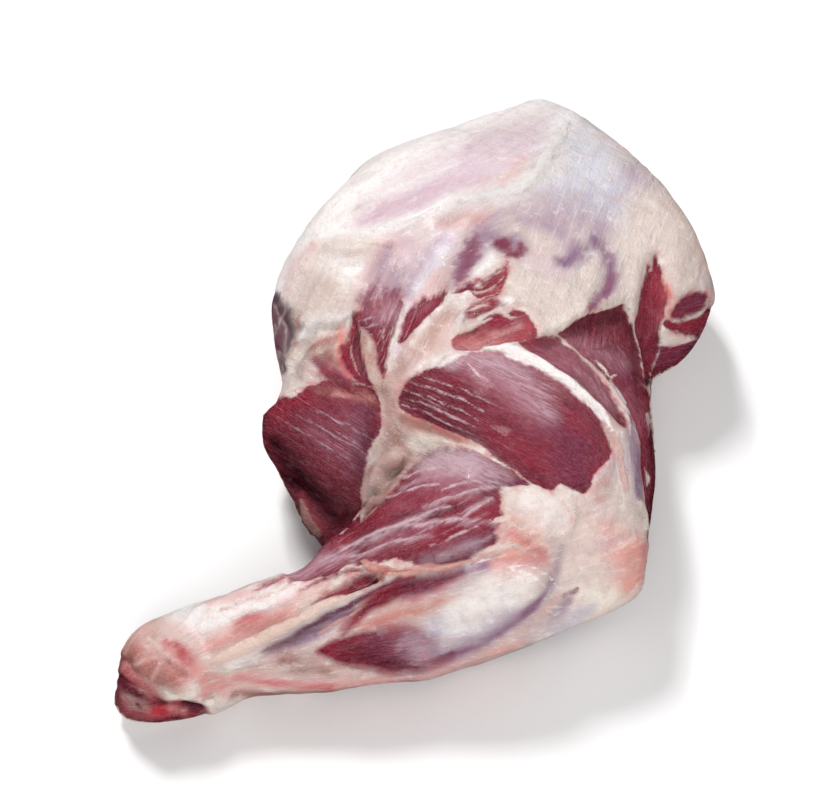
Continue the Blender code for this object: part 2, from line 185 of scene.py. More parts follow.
# The same, drawn as strokes: how far the edge fades, and the stroke
BARE_STROKES = {
    "shoulder_low": (1.4, 1.2, (-38.4, 8.8, 0.8), (-33.6, 5.6, 1.6), (-28, 4)),
    "leg_slot": (1.4, 0.6, (-42.4, -84.8), (-35.2, -80.8, 1.2), (-28, -77.6, 2), (-21.6, -75.2, 2.4),
        (-16.8, -73.6, 1.8), (-13.6, -74.8)),
    "leg_band": (2.6, 2, (-30, -97.6, 1), (-26.4, -92), (-20.8, -86, 2.8), (-13.6, -81.2, 3.6),
        (-5.6, -78, 3.8), (2.8, -75.6, 3.4), (10.8, -73.2), (17.6, -71.2, 0.8)),
    "leg_thread": (0.5, 0.2, (-66, -79.6), (-61.6, -77.6, 0.6), (-55.6, -75.2, 0.6), (-50, -72.8)),
    "leg_streaks": (1.2, 0.6, (-50.4, -75.6, 0.3), (-43.2, -72), (-35.2, -68), (-30.4, -65.6, 0.3)),
    "leg_streaks_low": (1.2, 0.6, (-47.2, -79.2, 0.2), (-39.2, -75.2), (-29.2, -72), (-22.4, -70.4, 0.3)),
    "flexor_under": (2.2, 1.8, (-29.2, -106.8, 0.8), (-19.2, -108.8, 1.6), (-7.2, -109.2), (4.8, -107.2),
        (13.6, -103.6, 0.8)),
}

# Bands that lie over the rest with a sharp edge: colour, height, stroke
BANDS = (
    ("white", 0.8, 1.4, (26.4, 18, 1), (34, 17.6, 1.6), (41.6, 15.2, 2.2), (50, 11.2, 2),
        (57.2, 6.4, 1.8), (64.8, 0, 1.7), (71.6, -6.8), (76, -13.6, 0.9), (78.4, -19.2, 0.4)),
    ("fat_pink", 0.5, 1.6, (72.8, -9.2, 0.6), (76.8, -16.8), (79.2, -24.8, 1.8), (80.8, -32),
        (82, -38.4, 1.2)),
    # pale lines along the fibres of the upper arm and the brisket end
    ("milk", 0.15, 0.1, (0, 7.6), (10.8, 4.4, 0.4), (20.8, 0.8, 0.4), (29.6, -4)),
    ("milk", 0.15, 0.1, (-4, 5.2), (5.6, 2.4, 0.4), (16, -1.6, 0.4), (26.4, -7.2)),
    ("milk", 0.15, 0.1, (-6, 2), (4, -1.2, 0.4), (14.8, -5.6, 0.4), (27.2, -12)),
    ("milk", 0.15, 0.1, (-6.8, -1.2), (2.8, -4.4, 0.4), (12.8, -8.4, 0.4), (25.6, -15.2)),
    ("milk", 0.15, 0.1, (-6.4, -4.8), (2.8, -8, 0.4), (12.8, -12, 0.4), (21.6, -16.4)),
    ("mauve", 0.1, 0.1, (-46.4, -4.8), (-35.2, -9.6, 0.3), (-25.6, -14.4, 0.3), (-17.6, -18.8)),
    ("mauve", 0.1, 0.1, (-49.6, -8.4), (-39.2, -13.6, 0.3), (-28.8, -19.6, 0.3), (-20, -24.8)),
    ("mauve", 0.1, 0.1, (-51.2, -13.2), (-41.6, -18.4, 0.2), (-31.2, -24.8, 0.2), (-23.2, -30.4)),
    # torn threads over the shoulder's left
    ("fat_pink", 0.2, 0.2, (-8.4, 32.8), (-10, 25.6, 0.4), (-11.2, 17.6, 0.4), (-12.4, 10.4)),
    ("cream", 0.2, 0.2, (-6, 34.4), (-8, 26.4, 0.4), (-9.2, 18.4, 0.4), (-10.8, 10.4)),
    ("fat_pink", 0.2, 0.2, (-13.2, 30.4), (-13.6, 23.6, 0.4), (-14, 16.8)),
    ("mauve", 0.2, 0.2, (-23.6, 28.4), (-20, 30.4, 0.4), (-15.6, 31.2)),
    ("mauve", 0.2, 0.2, (-21.6, 25.6), (-18.4, 27.6, 0.4), (-14.4, 28.4)),
    ("mauve", 0.2, 0.2, (-19.2, 22.8), (-16.8, 24.8, 0.4), (-13.6, 25.6)),
    ("fat_pink", 0.2, 0.2, (-26.4, 23.6), (-27.2, 17.6, 0.4), (-25.6, 11.2, 0.4), (-22.4, 6.4)),
    # the crumbly ridge over the shoulder
    ("white", 0.7, 1.4, (60, 106.4, 0.4), (56.8, 101.6, 1.8), (53.6, 97.2, 1.2), (50.8, 92.4, 2.4),
        (47.2, 87.6, 1.6), (40.8, 82, 2.2), (31.6, 79.2, 1.1), (22.4, 77.6), (12.8, 76.4, 0.5)),
    ("white", 0.6, 0.7, (13.6, 76.4, 0.4), (5.6, 73.6, 0.8), (-3.2, 70), (-10.4, 67.2, 0.3)),
    # wrinkles in the membrane by the elbow and along the leg
    ("white", 0.2, 0.1, (32, -73.6), (38.8, -71.6, 0.4), (45.6, -73.6, 0.3), (50.8, -77.6)),
    ("white", 0.2, 0.1, (34.8, -70.8), (42.8, -69.2, 0.3), (50.8, -72, 0.3), (55.2, -76.8)),
    ("white", 0.2, 0.1, (20, -69.6), (26.4, -66.8, 0.4), (32.8, -64.8)),
    ("cream", 0.2, 0.1, (36, -50.4), (40.8, -54.4, 0.3), (44.8, -58.4, 0.3), (50.8, -61.6)),
    ("cream", 0.2, 0.1, (32.8, -56.4), (37.6, -59.6, 0.3), (43.2, -63.2, 0.3), (48.8, -64.8)),
    ("rose", 0.2, 0.1, (55.2, -41.6), (59.2, -44.8, 0.3), (60.8, -50.4, 0.3), (57.6, -55.2)),
    ("rose", 0.15, 0.1, (-91.2, -87.2), (-79.2, -82.4, 0.3), (-65.2, -77.6, 0.3), (-53.2, -73.2)),
    ("white", 0.2, 0.1, (-93.2, -98.4), (-81.2, -93.6, 0.4), (-69.2, -88, 0.4), (-53.2, -82.4)),
    ("rose", 0.15, 0.1, (-81.2, -87.2), (-67.2, -82.8, 0.3), (-51.2, -77.6, 0.3), (-38.4, -73.2)),
    ("warm_cream", 0.3, 0.2, (-87.2, -116.8), (-78.4, -112, 0.5), (-67.2, -109.6, 0.5), (-57.2, -108.8)),
    ("ivory", 0.3, 0.2, (-88, -112.8), (-81.2, -109.6, 0.5), (-72.8, -108, 0.4), (-65.2, -106.4)),
    # the folds of membrane on the forearm
    ("milk", 0.5, 0.6, (-26.4, -60.4, 0.4), (-17.2, -55.6, 0.7), (-7.2, -53.2, 0.7), (2.8, -52),
        (12.8, -50.8), (20, -50, 0.3)),
    ("milk", 0.4, 0.6, (-9.2, -53.6, 0.3), (-1.2, -49.6), (6.8, -46.4), (12.8, -45.2, 0.3)),
    ("milk", 0.4, 0.6, (2.8, -45.2, 0.3), (10.8, -41.6), (18.8, -38.8), (26.8, -36.8, 0.3)),
    ("milk", 0.3, 0.5, (-15.2, -42.4, 0.3), (-7.2, -39.2), (0.8, -36.8), (8.8, -35.6, 0.3)),
    ("milk", 0.3, 0.4, (-7.2, -33.6, 0.3), (0.8, -30.4), (10.8, -28.8), (20.8, -29.6, 0.3)),
    ("milk", 0.4, 0.6, (8.8, -38.4, 0.3), (16.8, -35.6), (24.8, -34.4), (31.6, -35.2, 0.3)),
    ("milk", 0.3, 0.3, (14.8, -50.4), (22.8, -45.6, 0.6), (29.6, -41.2)),
    ("milk", 0.4, 0.6, (-29.2, -66.4, 0.3), (-19.2, -62), (-9.2, -58.8), (0.8, -56.4, 0.3)),
    ("pink_lavender", 0.3, 0.3, (-40, -67.6), (-31.2, -62.8, 0.6), (-21.2, -58.4)),
    ("milk", 0.3, 0.3, (4.8, -60.4), (16.8, -55.6, 0.5), (28.8, -50.4)),
    ("pink_cream", 0.4, 0.6, (53.6, 25.2, 0.4), (59.2, 20.4), (64.8, 15.6), (70.4, 10.8, 0.7),
        (74.4, 6.4, 0.7), (78.4, 0.8), (81.2, -4.4, 0.5), (83.2, -10.4, 0.5), (83.6, -16.8, 0.4)),
    ("ivory", 0.4, 0.2, (71.2, 14.4), (73.6, 11.6, 0.7), (76, 8.4, 0.5), (76.8, 5.2)),
    ("cream", 0.4, 0.3, (76.4, 5.2, 0.2), (78, 7.2, 0.5), (80, 8)),
    ("ivory", 0.4, 0.6, (76.8, 4, 0.3), (78.8, 1.2), (81.2, -1.2), (83.2, -4, 0.3)),
    ("blue_white", 0.4, 0.6, (77.6, 4.4, 0.3), (80, 0.8), (82.4, -4), (84, -8, 0.4)),
    ("cream", 0.3, 0.4, (82.8, 36.4, 0.6), (84.8, 30.4, 0.7), (86.4, 24.8), (88.8, 16.8, 0.2)),
    # pale fibres over the strips and the cut end
    ("fat_pink", 0.3, 0.2, (20, 39.2), (25.6, 41.2, 0.4), (30.8, 44, 0.4), (34.4, 46.8)),
    ("pink_cream", 0.35, 0.2, (19.2, 36.4), (24.8, 38, 0.5), (29.6, 39.6, 0.4), (32.8, 41.2)),
    ("fat_pink", 0.3, 0.2, (20.8, 34), (26.4, 36, 0.4), (31.6, 38)),
    ("pink_cream", 0.35, 0.2, (19.2, 32), (24, 33.6, 0.5), (29.6, 35.2)),
    ("cream", 0.6, 0.6, (16.8, 24, 0.3), (21.6, 26.4), (26, 28.8), (29.6, 31.2, 0.3)),
    ("pink_cream", 0.4, 0.3, (32.8, 32.4), (36, 30.4, 0.6), (40, 30)),
    ("flesh", 1.3, 2.4, (-22.4, -66.4, 0.6), (-19.6, -67.6, 1.6), (-16, -69.6), (-11.2, -71.2, 2.8),
        (-5.2, -71.2), (2.8, -69.6, 1.8), (11.6, -68.4, 1.4), (21.6, -67.2, 0.8)),
    ("flesh", 0.8, 1.2, (-18.4, -68.8), (-16, -72, 1.3), (-15.2, -74.8, 0.9)),
    ("skin_red", 1, 2.4, (-19.2, -68, 1.6), (-16.4, -69.6, 2.6), (-12.8, -70.8, 3), (-9.6, -71.2)),
    ("warm_cream", 0.6, 1.4, (-84.8, -108, 0.5), (-79.2, -105.6, 1.2), (-72.8, -102.8, 1.7),
        (-65.2, -99.2, 1.6), (-56, -94.4, 1.8), (-47.2, -90), (-38.4, -84.8), (-30.4, -80.8, 1),
        (-23.2, -77.6, 0.8), (-17.6, -75.6, 0.4)),
    ("ivory", 0.2, 0.2, (-77.2, -103.6), (-69.2, -99.6, 0.4), (-61.2, -96, 0.4), (-51.2, -91.2)),
    ("fat_pink", 0.2, 0.2, (-71.2, -102.4), (-62.4, -98.4, 0.4), (-51.2, -92.8, 0.4), (-41.2, -87.6)),
    ("flesh", 0.3, 0.7, (-40, -96, 0.6), (-33.6, -92.4, 0.9), (-27.2, -88.4), (-20.8, -84.4, 0.4)),
    ("ivory", 0.9, 1.6, (-101.2, -117.6, 1), (-98.8, -119.2, 2), (-96.8, -120.4)),
    ("ivory", 0.9, 1.6, (-94.4, -120.4), (-92, -120, 2), (-89.6, -118.4, 1.2)),
    ("ivory", 0.8, 1.2, (-84.8, -122), (-82.8, -122, 1.4)),
    ("cream", 0.3, 0.2, (92, -7.2), (92.8, -12, 0.4), (92.8, -16.8)),
    ("cream", 0.3, 0.3, (91.2, -28.8), (92.4, -32.4, 0.5), (92, -36.8)),
    ("ivory", 0.6, 1, (87.2, -43.2, 0.8), (88.8, -48, 1.2), (89.6, -53.6)),
    ("fat_grey", 0.6, 1.6, (-47.2, -42.4, 0.8), (-46, -46.8), (-43.6, -51.6, 2), (-39.6, -56.4, 1)),
    # a torn end of fell over the forearm
    ("pink_cream", 0.5, 1.2, (36, -49.6, 1.6), (32.4, -50), (29.2, -51.6, 0.4)),
    ("pink_cream", 0.5, 1, (35.2, -60.4, 1.6), (29.6, -61.6), (22.4, -64.8, 0.3)),
    ("fat_pink", 1.1, 2.8, (-7.2, -26, 1.6), (-10.8, -27.6), (-14.4, -30), (-16.4, -32, 2)),
    ("fat_pink", 1.1, 2.4, (-16.8, -34), (-19.2, -36.8, 2.8), (-20.4, -40.4), (-20, -43.6, 1.2)),
)

# Soft strokes of colour on the fell and fat: colour, strength, stroke
FELL_STROKES = (
    # the shoulder's upper muscle, seen through thin fell
    # the white along the top edge is partly the pale fell and partly painted highlight where the top
    # faces the light
    ("white", 0.95, 8.8, (-34, 74), (-12, 90.4), (16, 105.6), (44, 116.8, 8), (58, 110.4, 4.8)),
    ("white", 0.8, 6.4, (-48, 60), (-36, 64), (-30, 70, 5.6)),
    ("lavender", 0.85, 6.8, (-16, 69.6), (5.6, 81.6, 9.6), (28.8, 93.6, 10), (45.6, 100.8, 6)),
    ("pink_lavender", 0.7, 4, (-22, 67.2, 2.8), (-10, 74.4, 4.4), (6, 80, 4.8), (22, 84)),
    ("white", 0.5, 1.6, (-16, 79.2), (0, 85.2, 2), (14, 90.4)),
    ("mauve", 0.25, 4.4, (20.8, 97.6, 2.4), (36.8, 105.6), (52.8, 111.2)),
    # the blue-white fell beside it
    ("blue_white", 0.95, 10.4, (64, 98.4, 8.8), (68.8, 87.6, 12.8), (72.8, 79.6), (60.8, 83.6, 8)),
    ("blue_grey", 0.5, 7.2, (48.8, 79.6, 4.8), (62.8, 75.6), (76.8, 77.6), (84.8, 83.6, 5.6)),
    ("mauve", 0.65, 4.8, (28, 68.8, 4), (36.8, 72), (50.8, 72, 6), (62.8, 68.8, 5.6), (74.8, 64.8, 4.4)),
    ("blue_grey", 0.6, 3.2, (24, 66.4), (28.8, 61.6, 2.8)),
    ("mauve", 0.6, 2.8, (84, 88.8), (88.8, 85.6, 3.2), (93.6, 81.6, 2.4)),
    ("rose", 0.3, 3.2, (78.8, 103.6), (92.8, 91.6), (104.8, 75.6), (112.8, 57.6, 2.8)),
    ("dull_cream", 0.85, 7.2, (100, 73.6, 8), (106.8, 61.6, 8.8), (108.8, 49.6), (98.8, 59.6, 6.4)),
    ("cream", 0.9, 6.4, (92, 71.6), (100, 56.8), (88.8, 61.6, 5.6)),
    ("blush", 0.35, 2.8, (114.4, 59.6), (117.2, 49.6), (117.6, 41.6, 2.4)),
    ("blue_grey", 0.5, 1.4, (116.4, 46), (115.2, 42.8)),
    # the crumbly ridge and the white line that runs on from it
    ("white", 1, 3.2, (59.2, 105.6, 2.4), (55.2, 99.2, 3.6), (50.8, 92, 4), (45.6, 85.6, 3.6),
        (38.8, 80.8), (30.8, 78.4), (20.8, 77.6, 2.8), (12.8, 76, 2.8)),
    ("orange_pink", 0.4, 1.6, (41.6, 92.8), (38.4, 88.8, 2), (34, 84.8)),
    ("white", 0.95, 2, (12, 74.8), (-3.2, 69.6), (-15.2, 65.2), (-29.2, 61.6, 3.2), (-43.2, 59.2, 2.8)),
    ("blush", 0.45, 2, (8.8, 68.8), (14.4, 68, 2.8), (20, 72), (24.8, 68.8, 2.4)),
    ("white", 0.6, 2, (5.6, 72.8), (12.8, 74.4), (20.8, 75.6)),
    ("orange_pink", 0.4, 2.4, (19.2, 66.4), (24, 69.6), (28, 72.8, 1.6)),
    ("ivory", 0.8, 2, (21.6, 64), (15.2, 62.4, 2.4), (9.6, 59.2)),
    # the cut edge of the fell over the upper arm
    ("cream", 0.95, 6, (46, 58, 4.8), (54, 46, 8.8), (50, 34), (66, 46), (60, 34, 4)),
    ("ivory", 0.8, 1.8, (48, 22.8, 1.6), (56, 26.8), (64.8, 31.2), (72.8, 34.4), (80.8, 36.8, 1.6)),
    ("cream", 0.85, 3.2, (84, 58, 4.8), (86, 50, 4), (84.8, 41.6), (84, 35.2, 2)),
    ("pink_lavender", 0.45, 4, (40.8, 52.8, 3.2), (50.8, 52.8, 4.8), (56.8, 49.6)),
    ("violet", 0.9, 2.8, (81.6, -1.6, 1.2), (84, -8, 2), (85.2, -16.4), (86, -24.4, 3.2), (86.4, -33.6),
        (87.2, -41.6, 1.6)),
    ("mauve", 0.6, 1.2, (84, -12.4, 1), (84.8, -22.4, 1.4), (85.6, -32.4)),
    ("blue_white", 0.6, 1, (88.8, -12.4, 0.6), (90, -22.4), (90.4, -34.4), (90, -44.4, 0.8)),
    ("cream", 0.8, 2.4, (97.6, 48, 2), (101.2, 39.2, 2.8), (101.6, 31.2)),
    ("orange_pink", 0.85, 1.8, (97.6, 45.6, 1.6), (100, 40.8), (100.4, 36), (100, 31.2, 1.6)),
    ("red_tint", 0.7, 1, (98.4, 44), (100, 38.4), (100, 33.6)),
    # spots where the muscle shows through
    ("mauve", 0.8, 4.8, (24.8, 63.2, 4), (20.8, 55.6, 6), (16.8, 45.6)),
    ("purple", 0.95, 3.2, (23.6, 61.6), (21.2, 56.8, 4.8), (18.8, 51.6, 4.4), (16.8, 46.4, 2.8)),
    ("plum_red", 0.6, 2, (22.4, 59.6), (20.8, 55.6, 3.2), (19.2, 52)),
    ("plum_red", 0.45, 3.2, (19.2, 45.6), (15.2, 42.8), (10.4, 41.6, 2.4)),
    ("tan", 0.5, 2.8, (10.4, 50.4), (8.8, 44.8)),
    ("violet", 0.75, 4, (27.2, 63.2, 2.8), (32.8, 61.6), (39.2, 59.2, 4.4)),
    ("plum_red", 1, 2, (31.6, 60.4), (34, 58.8, 2.6), (36, 56.4)),
    ("plum_red", 0.9, 1.6, (39.2, 54.8), (41.6, 56.8, 2.4), (41.2, 58.8)),
    ("mauve", 0.85, 3.2, (40.8, 68.8, 2), (48.8, 68.4, 2.8), (55.2, 65.6), (60, 60.8), (63.2, 56),
        (60, 52.8, 2.4)),
    ("violet", 1, 2, (56.4, 52.8, 1.6), (60, 52.8, 2.2), (63.6, 54.4, 2.4), (66, 58)),
    ("violet", 0.85, 3.2, (69.6, 61.6, 2), (74.4, 56.8), (77.2, 50.4), (77.2, 44.8, 2.8)),
    ("purple", 0.85, 1.6, (74, 58.4), (75.6, 55.2)),
    ("purple", 0.85, 2, (77.2, 47.2), (76.4, 42.8, 2.4), (73.6, 38.8, 2.4), (70, 35.2),
        (67.2, 32.8, 1.2)),
    # the white tissue round the cut end
    ("white", 0.9, 3.6, (30, 54, 2), (24.8, 48, 2.4), (17.6, 35.6), (12.8, 32.8), (7.2, 26.4, 4)),
    ("blush", 0.6, 1.6, (25.6, 38), (19.6, 34), (13.6, 30)),
    ("white", 0.8, 2, (16, 29.6), (20, 32), (28, 35.2), (36, 35.6)),
    ("plum_red", 0.6, 1.2, (19.2, 28.8), (23.2, 35.2), (28.8, 36.4, 1.4), (34.8, 34.4)),
    ("cream", 0.8, 2.8, (34, 40.8), (38, 46, 3.2), (40, 37.6, 2)),
    ("fat_pink", 1, 4.8, (12.8, 31.2, 3.2), (7.2, 25.6, 4.4), (0.8, 19.2), (-5.6, 11.2), (-8.8, 2.4, 4)),
    ("rose", 0.4, 2.8, (10, 20), (4, 14.8), (12, 26, 2)),
    ("tan", 0.5, 2.4, (11.2, 28.8, 2), (5.6, 22.4), (-0.8, 16.8)),
    ("fat_grey", 0.55, 3.2, (-6.4, 10.4), (-9.2, 2.4)),
    ("white", 0.4, 1.2, (8.8, 33.6), (3.2, 28), (-2.4, 21.6)),
    ("white", 0.7, 1.6, (20.8, 16.8), (14.8, 15.2), (8, 12.8), (0.8, 9.6), (-4, 5.6, 1.2)),
    # the shoulder's left
    ("cream", 0.85, 7.2, (-36, 46, 8.8), (-30, 38), (-42, 36, 6.4)),
    ("dull_cream", 0.8, 4.8, (-42.4, 40.8), (-37.2, 44, 5.2), (-31.2, 37.6)),
    ("white", 0.6, 3.2, (-33.2, 52.8, 4), (-25.2, 50.4, 3.6), (-19.2, 52.8), (-29.2, 45.6)),
    ("tan", 0.35, 2, (-40, 57.2, 1.6), (-27.2, 57.2), (-15.2, 58)),
    ("ivory", 0.7, 1.6, (-41.2, 59.2), (-27.2, 59.6), (-13.2, 60.4)),
    ("white", 1, 3.6, (-55.2, 41.6), (-52, 52, 4.4), (-46.4, 59.2, 3.2)),
    ("blush", 0.4, 2.4, (-51.6, 41.6, 2), (-50, 47.6), (-46.8, 53.6), (-41.6, 57.6, 2)),
    # the purple, brown-grey and dark purple strokes down the left edge are partly darker fell and partly
    # painted shade where the side turns away from the light
    ("purple", 0.7, 3.2, (-56.8, 39.2, 2), (-54.4, 31.6), (-52.8, 23.6, 3.6), (-53.2, 16.8),
        (-54.4, 10.4, 2.4)),
    ("brown_grey", 0.95, 2.8, (-56, 38.4, 2), (-52.8, 32, 3.2), (-50, 24.4, 4), (-50.8, 16.8),
        (-52.8, 10, 1.6)),
    ("muscle_purple", 0.75, 2, (-58.8, 36), (-57.6, 27.2, 2.4), (-56.4, 18.4)),
    ("fat_grey", 0.4, 0.6, (-56.4, 35.6, 0.5), (-53.2, 27.6), (-52.4, 17.6), (-54, 9.6, 0.5)),
    ("fat_grey", 0.8, 2, (-47.2, 30.4), (-46, 24.8, 2.4), (-47.6, 19.6), (-49.6, 14.4)),
    ("fat_grey", 0.6, 2.4, (-43.2, 19.6, 2), (-44.8, 13.6), (-46, 7.6)),
    ("tan", 0.8, 3.6, (-40, 20.8, 3.2), (-37.2, 16.8)),
    ("cut_red", 0.6, 3.2, (-38.4, 12.8, 2.4), (-34.4, 8.8, 3.6), (-29.6, 6.4)),
    ("brown", 0.7, 2.4, (-35.2, 19.2), (-37.2, 14.4, 2.8), (-32, 11.2)),
    ("brown", 0.8, 1.2, (-47.2, 19.2), (-42.4, 17.6, 1.4), (-36.8, 20.8), (-32, 22.4, 1)),
    ("plum_red", 0.8, 3.2, (-40, 12, 2.4), (-36.8, 8), (-32, 5.6), (-28.8, 4, 2.8)),
    ("ivory", 0.8, 1.6, (-50.8, 9.6, 1.2), (-48, 15.2, 1.4), (-44, 20.4, 1.4), (-39.2, 23.2, 1.2),
        (-34.4, 25.6), (-29.2, 28), (-26.4, 30.4)),
    ("white", 1, 1.8, (-46.4, 22.8, 1.4), (-42.4, 26), (-37.6, 27.6), (-32, 28.8), (-26.8, 31.2, 1.6)),
    ("blush", 0.5, 2, (-37.2, 20.8), (-33.2, 22.4)),
    ("orange_pink", 0.8, 1.6, (-31.2, 25.6), (-30.4, 20.8, 1.8), (-30.8, 16.8)),
    ("red_tint", 0.8, 2, (-28.8, 19.6, 1.6), (-29.6, 13.6), (-28, 8.8)),
    ("pink_lavender", 0.8, 4.8, (-4, 60, 3.6), (-10, 52), (-14, 44), (-18, 38, 3.2)),
    ("lavender", 0.9, 4, (12, 62), (5.2, 53.2, 4.4), (1.2, 44), (-2, 36, 3.2)),
    ("blue_white", 0.6, 2.8, (10, 58), (4, 48), (-0.8, 40, 2.4)),
    ("mauve", 0.5, 1.6, (8.8, 62.4), (4, 55.6, 2), (-1.2, 47.6, 2), (-4, 39.6)),
    ("rose", 0.7, 6, (-10, 59.2, 2.4), (-12.8, 53.6, 4.4), (-15.2, 46.4), (-16.8, 39.2)),
    ("violet", 0.5, 4.8, (-10.4, 48.8), (-9.6, 42.4), (-13.6, 37.6, 4.4)),
    ("mauve", 0.7, 3.2, (-10.8, 57.6, 2), (-12.8, 51.2), (-16, 44.8, 4)),
    ("plum_red", 0.5, 3.2, (-15.2, 42.4), (-19.2, 36.8, 4)),
    ("mauve", 0.6, 3.2, (-8.8, 47.2), (-9.6, 41.6)),
    ("plum_red", 0.65, 3.2, (-20.8, 36, 2.8), (-15.2, 38.4, 3.6), (-8.8, 39.2)),
    ("rose", 0.5, 2.4, (8, 46), (2, 38)),
    ("fat_grey", 0.9, 2.8, (-21.6, 27.2, 1.6), (-20, 22.4, 2.4), (-19.2, 16.8), (-18, 11.2)),
    ("tan", 0.9, 2.8, (-19.2, 16.8, 2), (-18, 11.2), (-16, 5.6), (-13.6, 0.8, 2.4)),
    ("orange_pink", 0.3, 1.8, (-16.8, 14.4, 1.6), (-13.6, 5.6)),
    ("pink_cream", 0.7, 0.6, (-20.8, 25.6), (-18.4, 20.8, 0.8), (-18.8, 16)),
    ("pink_cream", 0.7, 0.8, (-16, 12.8, 0.6), (-16.8, 8, 1), (-14.4, 3.2)),
    ("white", 0.7, 1.2, (-6.4, 36), (-8, 27.6), (-10, 17.6), (-12, 8.8)),
    ("lavender", 0.6, 1.2, (-4, 33.6), (-6.4, 23.6), (-8.4, 15.6)),
    # the fat between the three muscles
    ("fat_pink", 0.95, 4.4, (-8.8, 2.4, 4), (-10, -4), (-8, -10.4), (0.8, -13.6, 3.6)),
    # the grey here and the brown strokes further down round the fat lobes are partly the fat's colour and
    # partly painted shade between the lumps
    ("fat_grey", 0.95, 3.6, (-12, -16), (-12, -24, 5.2), (-16, -34.4, 4.8), (-20, -44.8)),
    ("tan", 0.5, 2.8, (-8, -16.8), (-6.4, -22.4, 3.2), (-9.6, -27.2)),
    ("fat_grey", 0.5, 2, (-9.2, -4.4, 1.6), (-7.2, -9.6), (-1.2, -12.4)),
    ("fat_grey", 0.6, 2, (-13.6, 2, 1.6), (-12, -6), (-13.2, -12.4)),
    # this tan stroke and the brown one after the ivory line are partly the fat's colour and partly
    # painted shade along the upper side of the pale band
    ("tan", 0.85, 2, (-3.2, -10.4), (4.8, -12.8, 2.4), (14.8, -16.8), (22.8, -20, 1.6)),
    ("ivory", 0.95, 2, (-0.8, -18.4, 1.6), (8, -18.8), (16, -21.6), (24.8, -24.8), (32, -29.6, 1.8),
        (40, -36, 1.6), (46, -40.4, 1.2)),
    ("brown", 0.8, 1.6, (-5.2, -10.4), (1.6, -12.8, 2), (8.8, -15.2, 1.8), (16.8, -18.4, 1.2)),
    ("brown", 0.6, 2, (-8, -18.4, 2.4), (-5.6, -23.2), (-8.8, -27.2, 1.6)),
    ("orange_pink", 0.4, 1, (12.8, -13.6), (24.8, -19.6), (36.8, -27.2), (44.8, -34)),
    ("pink_cream", 0.95, 2.8, (-9.2, -25.6), (-13.6, -28.8), (-16, -35.2, 2.4), (-18, -42.4, 2)),
    # partly painted shade beside and between the fat lobes
    ("brown", 0.7, 1.6, (-3.2, -24.8), (-7.2, -31.2, 2), (-13.6, -40, 2), (-18.8, -48)),
    ("brown", 0.6, 1.2, (-18.4, -29.6), (-20.8, -32), (-15.2, -33.2, 0.8)),
    ("blush", 0.5, 1.6, (-12, -26.4), (-15.2, -32)),
    # the elbow
    ("pink_cream", 0.95, 6, (46, -46), (60, -52, 8), (74, -52, 8.8), (70, -70, 8.8), (80.8, -74.4),
        (72.8, -82.4, 4.8)),
    ("white", 0.6, 3.2, (42.8, -42.4), (52, -44.4, 3.6), (55.2, -50.4), (50.8, -51.2)),
    ("ivory", 1, 3.6, (64, -79.2), (72, -79.6, 4.8), (79.2, -78.8)),
    ("orange_pink", 0.75, 3.2, (36, -51.2, 3.6), (38.8, -58.4, 4.8), (44.8, -58.4, 4), (32.8, -64.8),
        (46.8, -64.4)),
    ("blush", 0.85, 3.6, (24.8, -67.6, 2.8), (32.8, -68.8), (40.8, -69.6, 4), (48.8, -66.4)),
    ("red_tint", 0.5, 1.6, (44.8, -60.4), (48.8, -63.2), (37.6, -56.4), (32.8, -60.4, 1.2)),
    ("blush", 0.6, 5.2, (75.2, -54.4, 4), (79.2, -62.4, 5.6), (82.4, -70.4)),
    ("orange_pink", 0.8, 3.2, (86, -58.4), (85.6, -66.4, 5.2), (84.8, -72.8, 4.8), (83.6, -77.6, 2.8)),
    ("red_tint", 0.5, 1.2, (89.2, -61.6), (89.2, -67.2, 1.6), (87.6, -73.6)),
    ("pink_lavender", 0.5, 3.2, (77.6, -24.4), (74.4, -30.4, 3.6), (69.6, -34.4)),
    ("blush", 0.5, 2, (74.8, -34.4), (68.8, -39.2, 2.4), (72.8, -42.4)),
    ("pink_cream", 0.7, 4, (62.8, -60.4), (69.6, -66.4, 4.8), (72.8, -72.4, 3.2)),
    ("violet", 0.45, 2, (58, -60.4, 1.2), (56, -66.4, 1.6), (54, -72.4), (51.6, -79.2)),
    ("plum_red", 0.9, 1, (63.2, -78), (60.8, -79.2, 1.2), (57.6, -80.8)),
    # the flexor with its white sheen, and the borders of the leg
    ("violet", 0.9, 6.4, (-9.2, -98.4, 7.2), (-1.2, -100.4, 8), (10.8, -100.4), (22.8, -95.2, 4.8),
        (34.8, -87.2, 3.6)),
    # the white over the flexor is partly a pale membrane and partly painted sheen
    ("white", 0.7, 7.6, (11.2, -92.8, 5.6), (20.8, -86.4), (30.4, -81.2), (41.6, -76.8, 4.4)),
    ("blue_grey", 0.6, 3.6, (8, -95.2), (7.2, -89.6)),
    ("violet", 0.9, 3.6, (-3.2, -81.6, 2.8), (6.8, -77.6), (16.8, -73.6), (26.8, -69.6, 2.4)),
    ("fat_pink", 0.9, 2.8, (-24.8, -95.2, 1.6), (-15.2, -90.4), (-4.8, -86, 3.6), (5.6, -82.4),
        (15.2, -79.2, 1.6)),
    ("flesh", 0.8, 2, (-21.2, -93.6), (-11.2, -89.2, 3.2), (0.8, -84.8, 3.2), (8.8, -81.6)),
    ("skin_red", 0.5, 1.6, (-18.4, -92.8), (-9.2, -88.8, 2.4), (0.8, -84.8, 2.8), (8, -82)),
    ("violet", 0.85, 2.4, (52.8, -75.2, 1.6), (49.2, -81.6, 2.2), (42.4, -87.6), (32.8, -94.4),
        (24, -100), (12.8, -105.2), (0.8, -108.8), (-15.2, -110.4, 2)),
